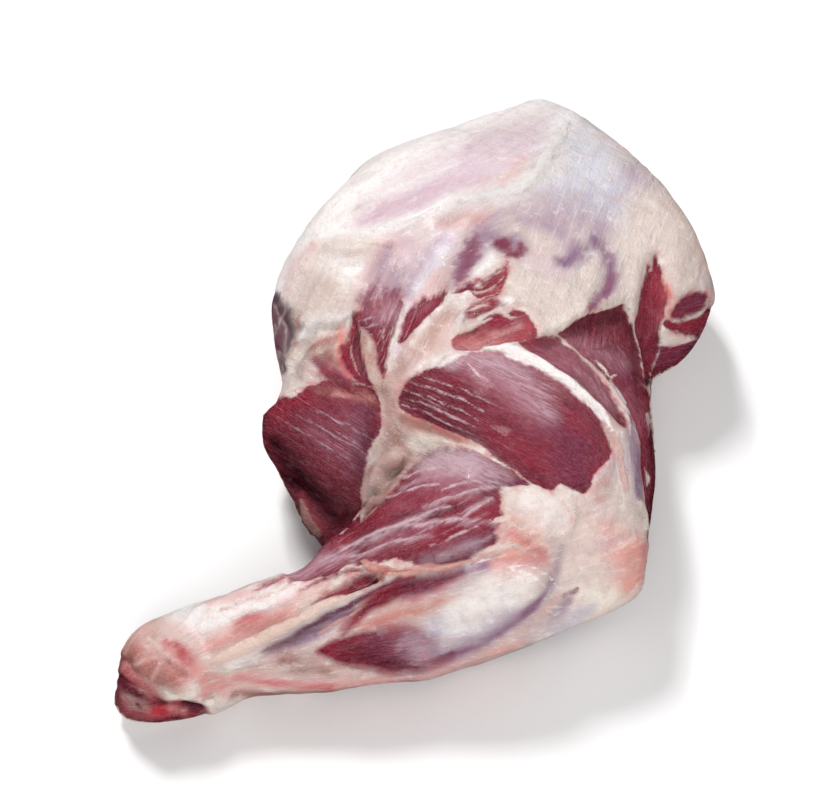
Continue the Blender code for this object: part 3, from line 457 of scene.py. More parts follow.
    ("purple", 0.5, 1.2, (50.8, -79.2, 0.8), (44.8, -85.6), (34.8, -93.2), (24.8, -99.2), (12.8, -104.8)),
    ("violet", 0.6, 2.8, (60, -81.6, 1.6), (53.6, -87.2), (47.2, -92, 3.6), (40.8, -96.8, 3.2)),
    ("blue_grey", 0.6, 2.8, (68.8, -84.4, 2), (60.8, -89.6, 3.2), (52.8, -94.4)),
    ("fat_pink", 0.85, 2, (56, -80, 1.2), (48.8, -88, 1.6), (38.8, -96), (28.8, -101.6), (16.8, -107.6),
        (0.8, -112), (-27.2, -112.8, 2.4)),
    ("blush", 0.7, 1.6, (40.8, -98.4, 1.2), (28.8, -104), (14.8, -110), (-3.2, -114.4),
        (-31.2, -114.8, 2)),
    # partly painted shade along the lower edge, where the leg turns under
    ("fat_grey", 0.7, 1.2, (44.8, -100), (20.8, -109.6), (-7.2, -116.4, 1.4), (-35.2, -118, 1.4)),
    # the leg
    ("white", 0.85, 3.2, (-100, -91.2), (-83.2, -84.4, 5.6), (-67.2, -79.2, 4.8), (-49.2, -74.4)),
    ("white", 0.7, 4, (-91.2, -94.4), (-77.2, -89.6, 4.8), (-73.2, -84.4)),
    ("rose", 0.6, 3.6, (-103.2, -93.6, 3.2), (-87.2, -98.4), (-71.2, -95.2), (-55.2, -84.8),
        (-39.2, -78.4, 3.2)),
    ("white", 0.7, 2, (-87.2, -93.6), (-71.2, -87.2), (-55.2, -80.8), (-39.2, -74.4)),
    ("blush", 0.45, 1.6, (-83.2, -84.8, 1.2), (-71.2, -81.6), (-55.2, -82.4), (-41.2, -75.6)),
    ("tan", 0.7, 2.4, (-81.2, -102.4), (-71.2, -98.4), (-59.2, -93.6), (-47.2, -87.2, 2)),
    ("red_tint", 1, 2.8, (-72, -92.4, 2), (-68, -90.4, 3.2), (-64, -90)),
    ("blush", 0.75, 3.2, (-85.2, -100.8, 2.8), (-75.2, -96.8), (-63.2, -92.8), (-51.2, -87.2, 2.4)),
    ("rose", 0.4, 1.2, (-77.2, -83.6), (-63.2, -78.8), (-47.2, -73.2), (-35.2, -68.8)),
    ("white", 0.6, 1.6, (-73.2, -87.2), (-62.4, -84), (-51.2, -80)),
    ("brown", 0.4, 2.4, (-71.2, -94.4), (-62.4, -93.6), (-54.4, -89.6, 2)),
    ("red_tint", 0.6, 1.6, (-40, -72.4), (-35.2, -69.6), (-30, -67.2)),
    ("violet", 0.9, 2.8, (-65.2, -106, 1.6), (-55.2, -101.6), (-45.2, -96.8, 3.2), (-35.2, -92),
        (-26.4, -87.2, 2)),
    ("dark_purple", 1, 1.2, (-62.4, -103.2, 0.8), (-51.2, -97.6), (-40, -91.2, 1.4), (-29.2, -84.8),
        (-19.2, -79.6), (-9.2, -75.6, 1), (-1.2, -73.2, 0.6)),
    ("pink_cream", 0.9, 3.6, (-81.2, -111.2), (-69.2, -107.2), (-60, -109.2)),
    ("white", 0.8, 2.4, (-74.4, -109.6), (-66.4, -108, 2.8), (-60.8, -108)),
    ("fat_pink", 0.9, 4.4, (-65.2, -109.6, 3.2), (-53.2, -107.2), (-41.2, -107.2), (-33.2, -112, 2.4)),
    ("brown", 0.6, 3.2, (-52.8, -105.6, 2.8), (-47.2, -108), (-40.8, -108.8), (-36.8, -110.4, 2.4)),
    ("blush", 0.8, 2, (-85.2, -116, 2.4), (-76, -113.6), (-65.2, -112.8, 1.6), (-51.2, -115.2),
        (-33.2, -116)),
    ("red_tint", 0.6, 1.2, (-85.2, -118.4), (-77.2, -115.2), (-67.2, -113.6), (-51.2, -115.2),
        (-35.2, -116.8)),
    ("blush", 0.5, 2, (-91.2, -112.8, 2.8), (-79.2, -118.4), (-63.2, -116.8, 1.6)),
    # partly painted shade along the lower edge, where the leg turns under
    ("brown", 0.7, 1, (-74.4, -119.6), (-59.2, -118.4), (-39.2, -118.8), (-15.2, -117.2), (4.8, -114.8)),
    # the knuckle
    ("blush", 0.9, 4.8, (-109.2, -98.4), (-112, -106.4, 5.6), (-103.2, -110.4, 6.4), (-97.2, -106.4)),
    ("tan", 0.7, 3.6, (-104.8, -94.4), (-108.8, -99.2), (-112.8, -104.8)),
    ("skin_red", 0.95, 4.4, (-113.6, -104.4, 4), (-110.4, -109.6, 4.8), (-104, -111.6, 5.2),
        (-97.6, -112.8), (-92.8, -109.6, 3.6)),
    ("skin_red", 0.7, 3.6, (-103.2, -102.4, 2.8), (-96.8, -104), (-91.2, -108)),
    ("pink_cream", 0.6, 2.4, (-103.2, -93.6), (-98.4, -97.6), (-92.8, -100.4)),
    ("brown", 0.85, 2.8, (-119.2, -105.6), (-115.6, -107.6), (-112, -109.6, 2)),
    ("brown", 0.7, 2.4, (-104, -109.6), (-101.2, -113.6, 2.8), (-98.4, -116.8, 2)),
    ("rose", 0.6, 2, (-107.2, -93.6), (-108.8, -99.2), (-103.2, -103.2)),
    ("pink_cream", 0.8, 0.7, (-107.2, -98.4, 0.6), (-103.2, -101.6), (-100, -104.4, 0.9), (-95.2, -100.8),
        (-92, -98.4, 0.6)),
    ("rose", 0.6, 0.7, (-100, -104.4), (-103.2, -109.6), (-105.6, -114.4, 0.6)),
    ("rose", 0.6, 0.7, (-100, -104.4), (-95.2, -108), (-91.2, -111.2, 0.6)),
    ("rose", 0.6, 0.6, (-101.2, -104.8), (-107.2, -106.4, 0.7), (-112.8, -108.8)),
    ("red_tint", 0.85, 1.6, (-100.8, -99.2, 1), (-97.6, -101.6), (-94.4, -104, 2), (-93.6, -107.2)),
    ("cut_red", 0.6, 0.8, (-96.8, -100.4), (-95.2, -103.2, 1), (-94.4, -106.4)),
    ("red_tint", 0.7, 1.6, (-88, -115.2), (-86, -119.2)),
    ("blush", 0.7, 3.2, (-89.2, -111.2), (-83.2, -114.4), (-87.2, -119.2, 2.4)),
    ("ivory", 0.95, 2.4, (-100, -118.4), (-96.8, -120.8), (-92.8, -120), (-89.6, -117.6, 2)),
    ("ivory", 0.9, 1.6, (-84, -122.8), (-82, -120.4)),
)

# The same on the bare muscle
MUSCLE_STROKES = (
    # the big muscle of the upper arm
    ("muscle_dark", 0.8, 4.8, (-4, 0), (6, -0.8, 6), (18, -2.4)),
    ("muscle_dark", 0.7, 3.2, (8, -12, 2.4), (20, -18.4), (34, -26.4, 3.6), (48, -33.6)),
    # the milk line and the pale pink stroke after it are partly the muscle's milky film and partly
    # painted sheen
    ("milk", 0.9, 2, (14, 12.8), (22.8, 14, 2.8), (32, 13.2, 2.8), (38.8, 10)),
    ("muscle_pink", 0.9, 6.8, (20.8, 11.2, 4), (29.6, 8, 5.6), (39.2, 4), (47.2, -2.4), (52, -8, 4.4)),
    ("muscle_purple", 0.7, 6.4, (56, -10), (62.8, -18.4, 7.2), (60, -28.8), (66, -34.4, 4)),
    ("muscle_red", 0.6, 3.2, (50.8, 2.4, 2), (56.8, -3.6), (63.6, -11.6)),
    ("muscle_red", 0.5, 4.8, (40, -24), (48, -29.6), (30, -20, 4)),
    # the strips beside the white band
    ("muscle_pink", 0.6, 3.6, (44.8, 18.8, 2.8), (56.8, 12.8), (68.8, 3.6), (77.6, -6.4, 2.8)),
    ("muscle_dark", 0.5, 1.6, (62, 8), (72, -2), (80, -11.2)),
    ("muscle_dark", 0.95, 3.6, (62.8, 26.4, 3.2), (70.8, 28.8, 4.4), (80, 31.2), (84, 25.6, 2.8)),
    ("muscle_pink", 0.5, 2.4, (56.8, 21.6), (66.8, 17.6, 3.2), (76, 14.4, 2.8), (81.6, 10.4)),
    ("muscle_dark", 0.5, 2.4, (74.8, 19.6), (82.8, 16.8, 2.8), (86.4, 10.4)),
    ("muscle_purple", 0.6, 3.2, (72.8, 12.8), (80.8, 8.8), (86.8, 3.6)),
    ("muscle_pink", 0.5, 2.4, (84.8, -0.4), (87.6, -6.4), (89.6, -12.4)),
    # the near-black strokes down the right rim and by the notch are partly dark muscle and partly painted
    # shade where the surface turns under
    ("muscle_deep", 0.75, 2.8, (95.2, -14.4), (96.8, -30.4, 3.2), (95.6, -44.4, 3.2), (92.8, -56.4)),
    ("muscle_deep", 0.7, 2, (88.8, 17.6, 1.6), (92.8, 8.8, 2.4), (91.2, 0.8)),
    # the right flap and the slit
    ("muscle_red", 0.75, 3.2, (92.8, 49.6), (93.6, 37.6, 3.6), (92, 23.6), (92.8, 9.6, 2.4)),
    ("muscle_dark", 0.6, 1.6, (91.2, 29.6), (90.8, 19.6), (94.4, 17.6), (95.6, 27.6)),
    ("cut_red", 0.8, 1.4, (97.6, 43.6), (98.8, 37.6, 1.6), (97.2, 30.4)),
    ("muscle_purple", 0.8, 2.4, (104.8, 33.6), (108.8, 36.4, 2.8), (112.8, 38.4)),
    ("muscle_red", 0.8, 2.4, (102.8, 27.6), (108.8, 27.6, 2.8), (114, 30.4)),
    ("muscle_purple", 0.6, 4, (96.8, 15.6, 3.2), (104.8, 15.6), (112.8, 19.6)),
    ("muscle_dark", 0.6, 3.2, (98.8, 7.6), (106.8, 11.6), (114.8, 19.6)),
    # the cut end
    ("cut_red", 0.85, 5.6, (16, 20, 4), (30.8, 23.6), (44, 26.4)),
    ("blush", 0.55, 2.4, (16, 19.6, 2), (22.8, 20), (29.6, 20.8), (36, 22.4, 2)),
    ("blush", 0.4, 1.6, (20.8, 24.8), (26.4, 27.2)),
    ("muscle_red", 0.75, 1.2, (24, 27.2), (29.6, 29.6, 1.6), (36, 29.6, 2), (40.8, 30.4)),
    ("muscle_red", 0.5, 2.4, (32.8, 26.4, 2), (39.2, 24.8)),
    ("red_tint", 0.4, 1.4, (33.6, 20.8, 1.6), (42.4, 23.2), (45.6, 27.2, 1.2)),
    ("rose", 0.5, 1.2, (29.6, 24), (36, 24.8), (40.8, 27.2)),
    ("cut_red", 0.8, 2.8, (36, 50), (32, 42), (24, 36)),
    # the torn shoulder
    ("muscle_red", 0.8, 2.4, (-27.2, 27.6), (-29.6, 19.2), (-28.8, 12.8), (-24.8, 7.2)),
    ("muscle_pink", 0.7, 1.2, (-24.8, 17.6), (-23.2, 12, 1.6), (-21.6, 7.2)),
    ("muscle_dark", 0.7, 2.4, (-24, 23.6, 2), (-23.2, 15.6), (-21.6, 8.8)),
    ("muscle_purple", 0.5, 2.4, (-18.4, 7.6), (-15.2, 4.4, 2)),
    ("muscle_pink", 0.8, 3.2, (-17.2, 31.6), (-11.2, 32.8)),
    ("muscle", 0.7, 2.4, (-13.2, 23.6, 2.8), (-13.6, 15.6)),
    ("muscle_red", 0.6, 2.8, (2.8, 31.6, 3.2), (-2.4, 26.4), (8, 36.8, 2)),
    ("muscle_pink", 0.4, 1.6, (-1.2, 32.8), (4.8, 35.6)),
    # the brisket end
    ("muscle_red", 0.95, 4, (-60.8, -7.2), (-61.6, -15.2, 4.4), (-53.2, -3.2, 3.2), (-45.2, -1.2, 3.6)),
    ("muscle_dark", 0.9, 3.6, (-63.2, -12.4), (-60, -18.4)),
    # partly dark muscle, partly painted shade where the shank shades the lower part
    ("muscle_deep", 0.95, 5.6, (-57.2, -18.4, 2.8), (-52.8, -25.6, 4.4), (-48, -32), (-40, -39.2),
        (-29.2, -48.4, 6.4), (-24, -56.4, 4.8)),
    ("muscle_dark", 0.6, 4.8, (-46, -12), (-37.2, -20), (-51.2, -18.4, 3.2)),
    ("muscle_purple", 1, 4.4, (-22.4, -8), (-22, -18.4, 4.8), (-24.4, -29.6, 4)),
    ("muscle_dark", 0.5, 2, (-18.4, -10.4, 1.6), (-18.8, -20.4), (-22, -30.4)),
    ("muscle_pink", 0.35, 4, (-41.2, -14.4), (-33.2, -22.4)),
    ("brown", 0.7, 1.6, (-40, 0.8), (-31.2, 1.6, 2), (-22.4, -0.8, 2), (-17.6, -4)),
    ("blush", 0.5, 1.2, (-33.2, 0.4), (-25.2, -0.4, 1.4), (-20, -2.4)),
    # partly dark tissue, partly painted shade under the shank
    ("brown_grey", 1, 3.2, (-52, -42.4, 2.4), (-47.2, -50.4, 3.6), (-42.4, -60.4)),
    ("cut_red", 0.6, 1.6, (-47.2, -40.4, 1.2), (-43.2, -48.4), (-38.4, -54.4)),
    # the forearm
    # partly the membrane's milky colour, partly painted sheen on the forearm's top
    ("milk", 1, 4.8, (2.8, -27.2, 3.6), (10, -26.8), (20, -28.4, 5.2), (28, -32, 3.2)),
    ("muscle_purple", 0.8, 2.4, (26.8, -32), (34.8, -34.4, 2.8), (40.8, -36.8, 2)),
    ("muscle_pink", 1, 3.6, (-8.8, -44), (0, -40.8, 4.4), (8.8, -36.4, 4), (20.8, -37.6, 3.2)),
    ("muscle_red", 0.8, 3.6, (-35.2, -64.4, 3.2), (-25.2, -54.4), (-15.2, -45.6, 4), (-5.2, -41.6),
        (4.8, -42.4), (16.8, -41.6, 2.8)),
    ("muscle_red", 0.8, 3.2, (2.8, -58.4), (8.8, -54.4, 4), (18.8, -50.4, 3.6), (28.8, -48.4)),
    ("muscle_pink", 0.6, 2.4, (-20, -60.4), (-7.2, -56.8, 2.8), (4.8, -53.6)),
    ("muscle_purple", 0.7, 2.8, (20.8, -60.4, 3.2), (28.8, -57.6), (30.8, -52.4, 2.4)),
    ("mauve", 0.75, 2.4, (2.8, -67.2, 2), (12.8, -64.4, 2.8), (22.8, -61.6)),
    ("muscle_dark", 0.6, 1.6, (-9.2, -49.6), (4.8, -47.2), (16.8, -45.2)),
    ("muscle_dark", 0.7, 1.6, (-14, -68.8), (-8, -67.6)),
    # the flexor's bare tip, and the strips along the leg
    ("muscle_red", 1, 4.8, (-38.4, -102.8, 3.2), (-32.8, -102.4), (-26.4, -103.2, 5.2)),
    ("muscle_dark", 0.95, 3.6, (-28.8, -102.8), (-21.6, -103.2, 5.2), (-13.6, -106.4, 4),
        (-3.2, -108.4, 2.8), (8.8, -106.4, 2.4)),
    ("muscle_purple", 0.9, 4.8, (-16.8, -100, 3.6), (-11.2, -101.6), (-5.2, -103.2)),
    ("mauve", 0.85, 3.6, (0, -100), (4, -102.4)),
    ("muscle_red", 0.9, 2.4, (-35.2, -81.2, 2), (-28, -78.4), (-19.2, -74.8)),
    ("muscle_red", 0.9, 3.6, (-29.2, -95.2, 2), (-24, -88.8, 2.8), (-15.2, -82.8), (-4, -77.6)),
    ("dark_purple", 0.85, 2.8, (-3.2, -78.4), (4, -76.4), (12, -73.6, 2.4)),
    ("cut_red", 0.9, 2, (-65.6, -79.2), (-51.2, -73.6)),
    # the joint end
    ("skin_brown", 0.7, 2.4, (-120.8, -106.4), (-119.2, -109.6)),
    ("blush", 0.9, 2.8, (-115.2, -108.8), (-110.4, -113.6, 3.2), (-104.8, -118), (-100, -120.8, 2)),
    ("red_tint", 0.6, 1.2, (-117.6, -111.2), (-113.6, -115.2), (-108, -118.4)),
    ("red_tint", 0.8, 4.8, (-119.2, -122.4), (-109.2, -125.6, 5.6), (-97.2, -127.2)),
    ("blush", 0.85, 2.8, (-116, -121.6), (-111.2, -123.6, 3.6), (-112.8, -126.4)),
    ("fat_pink", 0.95, 2.8, (-115.2, -120.8, 2), (-111.2, -122.4), (-112.4, -126)),
    ("fat_grey", 0.5, 2, (-108.8, -122.4), (-111.2, -127.2)),
    ("muscle_dark", 0.8, 0.8, (-112, -123.6), (-111.2, -124.4)),
    ("cut_red", 0.9, 2, (-119.2, -125.6), (-116.8, -128), (-110.4, -129.2)),
    ("bright_red", 1, 1.8, (-104.4, -126.4), (-102.8, -124.8, 2.4), (-101.2, -126.8)),
    ("blush", 0.8, 1.2, (-99.2, -125.2), (-96, -126.8, 1.6), (-92.8, -127.2)),
    ("muscle_dark", 0.9, 2, (-122, -111.2), (-121.6, -118.4), (-122, -125.6)),
    # the dark line along the fold, and the near-black hollow after it, are partly dark tissue and partly
    # painted shade in the crease and the hollow
    ("muscle_dark", 1, 1.4, (-120.8, -112, 1.2), (-117.6, -116.8), (-112.4, -120), (-106, -122.8, 1),
        (-100, -124, 0.8)),
    ("muscle_deep", 1, 1.6, (-92, -123.6), (-88.8, -124.8, 2.4), (-86.4, -126.4)),
    ("muscle_dark", 0.9, 1.6, (-120, -131.2, 2), (-107.2, -132), (-95.2, -130.4)),
    # the slot under the flap
    # partly dark muscle, partly painted shade under the flap
    ("muscle_deep", 0.5, 2.4, (-26.4, -77.6), (-18.4, -74.4)),
    ("muscle_pink", 0.8, 2, (-47.2, -71.2), (-38.4, -67.2, 2.4), (-29.2, -64.8)),
)

# Where a milky film lies over the muscle, and where a sheen is painted on it: strength, stroke
FILM_AND_SHEEN_STROKES = (
    # partly milky film, partly painted sheen, over the top of the upper arm
    (0.7, 6, (12, 13.2, 2), (22, 13.6, 3.2), (32, 11.2, 4.8), (41.6, 5.6), (48, -0.8), (52, -7.2, 3.6)),
    (0.2, 4, (56, 18), (66, 8), (78, -4)),
    (0.2, 3.2, (60.8, 20.8), (72.8, 17.6, 4), (82.8, 12.8)),
    # partly milky film, partly painted sheen, on the forearm's top
    (0.75, 4, (4, -27.2), (18, -27.2, 4.8), (32.8, -32.8, 3.6)),
    (0.6, 2.4, (-71.2, -79.2, 1.6), (-55.2, -73.6, 2.8), (-39.2, -67.2, 3.2), (-27.2, -64)),
    (0.12, 5.6, (-26, -12), (-24, -28)),
    (0.5, 4.8, (-4, -100), (2, -104)),
    (0.45, 3.6, (-13.2, 31.6), (-10.4, 37.6)),
    # the folds of membrane on the forearm
    (0.95, 1, (-31.2, -62), (-23.2, -58.8, 1.2), (-13.2, -55.6, 1.2), (-3.2, -52), (8.8, -50.8),
        (18.8, -50, 0.8)),
    (0.8, 0.8, (-10.4, -53.6), (-2.4, -50, 1), (5.6, -46.8, 1), (11.6, -45.6)),
    (0.9, 1, (2.8, -45.2, 0.8), (10.8, -42), (18.8, -39.2), (26.8, -37.2), (32.8, -36.4, 0.8)),
    (0.75, 0.8, (-27.2, -66.8, 1), (-17.2, -62, 1), (-7.2, -58.8), (4.8, -56.8)),
    (0.75, 1, (14.8, -50.4, 0.8), (21.6, -45.6), (28.8, -41.6)),
    (0.6, 0.8, (-7.2, -37.2), (0.8, -34, 1), (10.8, -32), (20.8, -32)),
    (0.5, 0.8, (-1.2, -30.4), (8.8, -27.6), (18.8, -27.6)),
    (0.6, 1.2, (8.8, -64.8), (18.8, -61.6, 1.4), (28.8, -57.2)),
    (0.6, 0.8, (18.8, -52.4), (24.8, -50.8, 1), (30.8, -52)),
)

# Where thin white lines run along the fibres: strength, stroke
LINED_STROKES = (
    (1, 6, (-6, -2, 4.8), (8, -3.2), (24, -9.6), (36, -16, 4)),
    (0.9, 6, (-50, -6), (-38, -14, 7.2), (-26, -24)),
    (0.8, 6, (-28, -62, 4), (-4, -54), (20, -46)),
    (0.8, 4.8, (-12, 30), (-15.2, 16, 4)),
    (0.6, 4, (-1.2, 30.4), (6.8, 36.8, 3.2)),
    (0.5, 8, (-84, -98), (-50, -86), (-20, -76), (10, -74, 6)),
    (0.5, 4, (60, 14), (74, 0)),
    (0.9, 3.2, (20, 21.6), (32, 24.8, 4), (42.8, 27.2)),
    (0.9, 2.4, (20.8, 32.8), (28, 37.6), (32.8, 43.6)),
)

# Crumbly fat: strength, stroke
CRUMB_STROKES = (
    (1, 3.2, (59.2, 105.6, 2), (55.2, 99.2), (50.8, 92, 3.6), (45.6, 85.6, 3.6), (38.8, 80.8),
        (28.8, 78.4, 2.8), (18.8, 75.2), (12.8, 70.4)),
    (0.6, 2.8, (-12, 66, 2), (-36, 57.2), (-26, 54.4, 4), (-16, 52.8, 3.2)),
    (0.9, 4, (-10, -18), (-12, -26), (-16, -36, 3.6), (-20, -46, 3.2)),
    (0.9, 2.8, (-20.8, 28.8, 2.4), (-18.4, 19.6), (-16, 9.6), (-13.2, 1.6)),
    (0.7, 4, (-44, 24), (-42, 14, 4.8), (-34, 22)),
    (1, 2.4, (-46.4, 22.8, 2), (-42.4, 26), (-37.6, 27.6), (-32, 28.8), (-26.8, 31.2, 2)),
    (0.5, 6, (42, -58), (50, -66, 4.8), (56, -50)),
    (0.4, 6, (-106, -104), (-98, -112), (-90, -116, 4), (-111.2, -114.4, 4.8)),
    (0.8, 2.4, (86.8, -44.4, 2), (88, -50.4), (88.8, -58.4)),
    (0.5, 3.2, (16, 30), (24, 36, 4), (14, 34)),
)

# Fine forms in the surface: height, and a stroke
RELIEF = (
    # folds at the shoulder's left
    (0.9, 0.9, (-40, 59.4), (-26, 60.4, 1), (-10, 58.4)),
    (0.8, 0.9, (-36, 55), (-24, 57), (-11, 55, 0.8)),
    (-0.7, 0.8, (-38, 57.4), (-25, 58.8), (-11, 56.8)),
    (0.8, 1, (-34, 50.6), (-26, 52.6), (-20, 50, 0.9)),
    (1.2, 1.4, (-47, 29), (-38, 28.4), (-30, 29.4, 1.3), (-24, 33, 1.2)),
    (-1, 1.4, (-46, 25.6), (-38, 25, 1.3), (-30, 26, 1.2)),
    (1.4, 1.3, (-51, 12, 1.2), (-48, 19), (-43, 26)),
    (-1.4, 1.2, (-49, 10), (-45.6, 17), (-41, 23)),
    (1.3, 1.4, (-45, 8), (-41.6, 16), (-36, 23)),
    (-1, 1.2, (-41, 6), (-38, 14), (-33, 21)),
    (1.6, 2, (-22.4, 27, 1.8), (-21.4, 20, 2.2), (-20, 12), (-18, 4)),
    (-1.6, 1.4, (-26, 28), (-28, 20, 1.8), (-28, 10, 2), (-26, 3, 1.6)),
    (0.8, 0.8, (-6, 37), (-8.6, 28), (-11, 17), (-14, 6)),
    (0.6, 0.8, (-3.4, 33), (-7, 22), (-10.6, 12)),
    # the white tissue beside the cut end
    (1.6, 2, (8, 31), (13, 37, 2.4), (20, 39.4)),
    (-1, 1, (12, 29), (18, 34.6), (25, 37.6)),
    (1, 1, (16, 29.4), (22, 33), (30, 36.4, 1.2), (38, 36.8, 1.2)),
    (1, 1, (27, 48), (23, 44.6), (19, 43.8, 0.9)),
    # the lip of the fell over the upper arm
    (1, 1.5, (48, 24.2, 1.4), (56, 28.2), (64, 32.2), (74, 36.2), (81, 38.8, 1.4)),
    # the ridge at the top, and the hollows beside it
    (0.5, 2.4, (59, 105, 2), (54, 98), (50, 91), (46, 85), (38, 79, 2.2), (26, 77.6, 2), (12, 75, 1.8)),
    (0.5, 1.2, (12, 75), (-6, 69.6), (-18, 65), (-30, 60.8)),
    (-0.8, 3, (20.4, 57.6), (17.6, 51, 2.6)),
    (-0.9, 2, (35, 59), (40.4, 55.4)),
    (-0.7, 2.4, (75.4, 60), (76.4, 48), (70, 37, 2)),
    # the fat between the muscles
    (2.2, 2.2, (-9, -25), (-12.6, -28.6, 2.4), (-14.6, -32, 2)),
    (1.8, 1.7, (-16, -36.6), (-18, -43, 1.5)),
    (-1.4, 1.3, (-8, -30, 1.4), (-12, -35), (-15.6, -41)),
    (1.1, 1.6, (-2, -15), (8, -18, 1.8), (18, -21.8, 1.5), (30, -28, 1.4), (41, -36, 1.3)),
    (-0.9, 1.1, (2, -11.4), (14, -16.4, 1.2), (26, -22), (38, -31)),
    # wrinkles of membrane on the forearm
    (0.8, 1, (-31, -62), (-23, -58.6), (-13, -55.4), (-3, -52), (9, -50.6), (19, -50, 0.9)),
    (-0.9, 0.9, (-30, -59.6), (-22, -56), (-12, -52.8), (-2, -49.6), (9, -48.6)),
    (0.7, 0.9, (3, -45.4), (11, -42), (19, -39.2), (27, -37.2), (33, -36.4, 0.8)),
    (-0.8, 0.8, (4, -43.4), (12, -39.8), (20, -37.2), (28, -35.4)),
    (0.6, 0.8, (-10, -53.6), (-2, -50), (6, -46.8), (12, -45.6)),
    (0.6, 0.9, (-27, -66.8), (-17, -62), (-7, -58.8), (5, -56.8, 0.8)),
    (-0.7, 0.8, (-26, -64.6), (-16, -59.8), (-6, -56.6)),
    (0.6, 0.8, (15, -50.4), (21.6, -45.6), (29, -41.6)),
    (-0.7, 0.8, (17, -48.6), (23, -44), (29, -40)),
    (-1.8, 1.4, (-31, -81, 1), (-24, -76.6), (-16, -73.4)),
    (-0.9, 1.2, (-24, -88), (-14, -81.6, 1.4), (-2, -77.6, 1.3)),
    # along the leg
    (0.6, 1.3, (-92, -89), (-72, -81.6), (-50, -73, 1.2)),
    (0.5, 1.3, (-92, -95), (-74, -89.6), (-54, -82.4, 1.2), (-36, -76, 1)),
    (-0.5, 1.2, (-86, -91), (-68, -85), (-48, -77.6, 1)),
    (-0.8, 1.2, (-60, -101.6), (-46, -95, 1.4), (-34, -90, 1.3), (-24, -85, 1)),
    (-0.6, 1, (-72, -96), (-58, -92, 1.2), (-44, -85.6)),
    # the elbow
    (0.9, 1, (59.6, -40.6), (61.6, -48, 1.1), (60, -54), (56.8, -57.6)),
    (0.7, 0.9, (38, -60), (46, -56, 1), (52, -57.6), (58, -55)),
    (0.6, 0.9, (34, -65.6), (44, -61.6), (52, -61.6)),
    (-0.6, 1.3, (60, -60, 1.2), (56.4, -66), (52, -74)),
    (0.8, 1.6, (64, -66), (70, -68, 1.8)),
    (-0.6, 1.2, (76, -76.6, 1), (68, -81), (60, -85.6)),
    # the knuckle
    (0.6, 0.9, (-107.2, -98.4, 0.8), (-103.2, -101.6), (-100, -104.4, 1), (-95.2, -100.8)),
    (0.6, 0.9, (-100, -104.4), (-103.2, -109.6), (-105.6, -114.4, 0.8)),
    (0.5, 0.9, (-100, -104.4), (-95.2, -108), (-91.2, -111.2, 0.8)),
    (0.5, 0.8, (-101.2, -104.8), (-107.2, -106.4, 0.9), (-112.8, -108.8)),
    (1, 2, (-112, -102), (-107, -101, 2.4)),
    (1.6, 2.6, (-105, -110), (-100, -113)),
    (1.3, 1.9, (-96, -117.4), (-91.6, -118)),
    (0.9, 2.2, (-98, -102), (-92, -106, 2)),
    (-1.8, 1.2, (-119.6, -113), (-113, -117, 1.3), (-107, -119.8), (-101, -122.4, 1.1), (-93, -123.6, 1)),
    (-1, 1.2, (-114.6, -103), (-115, -110)),
    (-0.9, 1.1, (-103, -104), (-99, -108.6), (-94, -112.6)),
    (-2.4, 1.6, (-91, -124.4), (-87, -125.4, 2.2)),
    (1.2, 3, (-111, -122), (-106, -125, 2.6)),
    (1, 1.4, (-84.6, -123.6), (-81.6, -119.6, 1.6)),
)

# Which way the fibres run on the board: place, reach, and angle from the board's right, in degrees
FIBRES = (
    ((30, -10), 34, -25),
    ((-42, -22), 28, -32),
    ((78, 4), 16, -56),
    ((96, -28), 20, -86),
    ((73, 28), 10, 84),
    ((93, 30), 10, 86),
    ((108, 20), 14, 14),
    ((-12, 40), 30, 66),
    ((10, 88), 44, 28),
    ((30, 26), 12, 20),
    ((70, 60), 30, 70),
)
# The leg's fibres fan out from a spot beyond the knuckle
LEG_FAN_CENTRE = (-132, -124)
LEG_SPOTS = (((-70, -98), 34), ((-20, -86), 36), ((6, -54), 24), ((34, -86), 30), ((70, -66), 26))
LEG_FAN_SPREAD = 110

# How far the painted shapes stray from their lines, and over what length; the two ways across the
# board take the noise at two shifts
STRAYS = ((1.5, 9), (0.7, 3.4))
STRAY_SHIFTS = (0, 150)

# Lines: a smooth curve's weights for the four points about a stretch, by powers of the way along
CURVE_PARTS = 4
CURVE = np.array([(0, 1, 0, 0), (-0.5, 0, 0.5, 0), (1, -2.5, 2, -0.5), (-0.5, 1.5, -1.5, 0.5)])
THINNEST = 0.15
SHAPE_REACH = 8
# How many radii away a soft stroke is still worked out, and how slowly it fades
SOFT_REACH = 3
SOFT_FADE = 1.25

# The sides that the board doesn't show: patches of bare muscle, and seams of fat between layers,
# each with its height, swing, swings all round, start and half width
SIDE_BARE_SHARE = 0.5
SIDE_BARE_SLOPE = 40
SIDE_SEAMS = ((18.5, 6, 3, 0.4, 1.6), (39.5, 7, 2, 1.9, 1.8), (56.5, 5, 4, 3.0, 1.4))
SIDE_CENTRE = (13.5, 8.3)
SIDE_RADIUS = 90
SIDE_THROUGH = 0.35
SIDE_LINED = 0.5
SIDE_BAND_DEPTH = -6
# Fibres: how far apart in the noise each muscle's are, and where they lose their way
FIBRE_STEP = 20
FAN_STEP = -40
STEADY_REACH = 0.14
SIDE_STEADY_REACH = 0.4

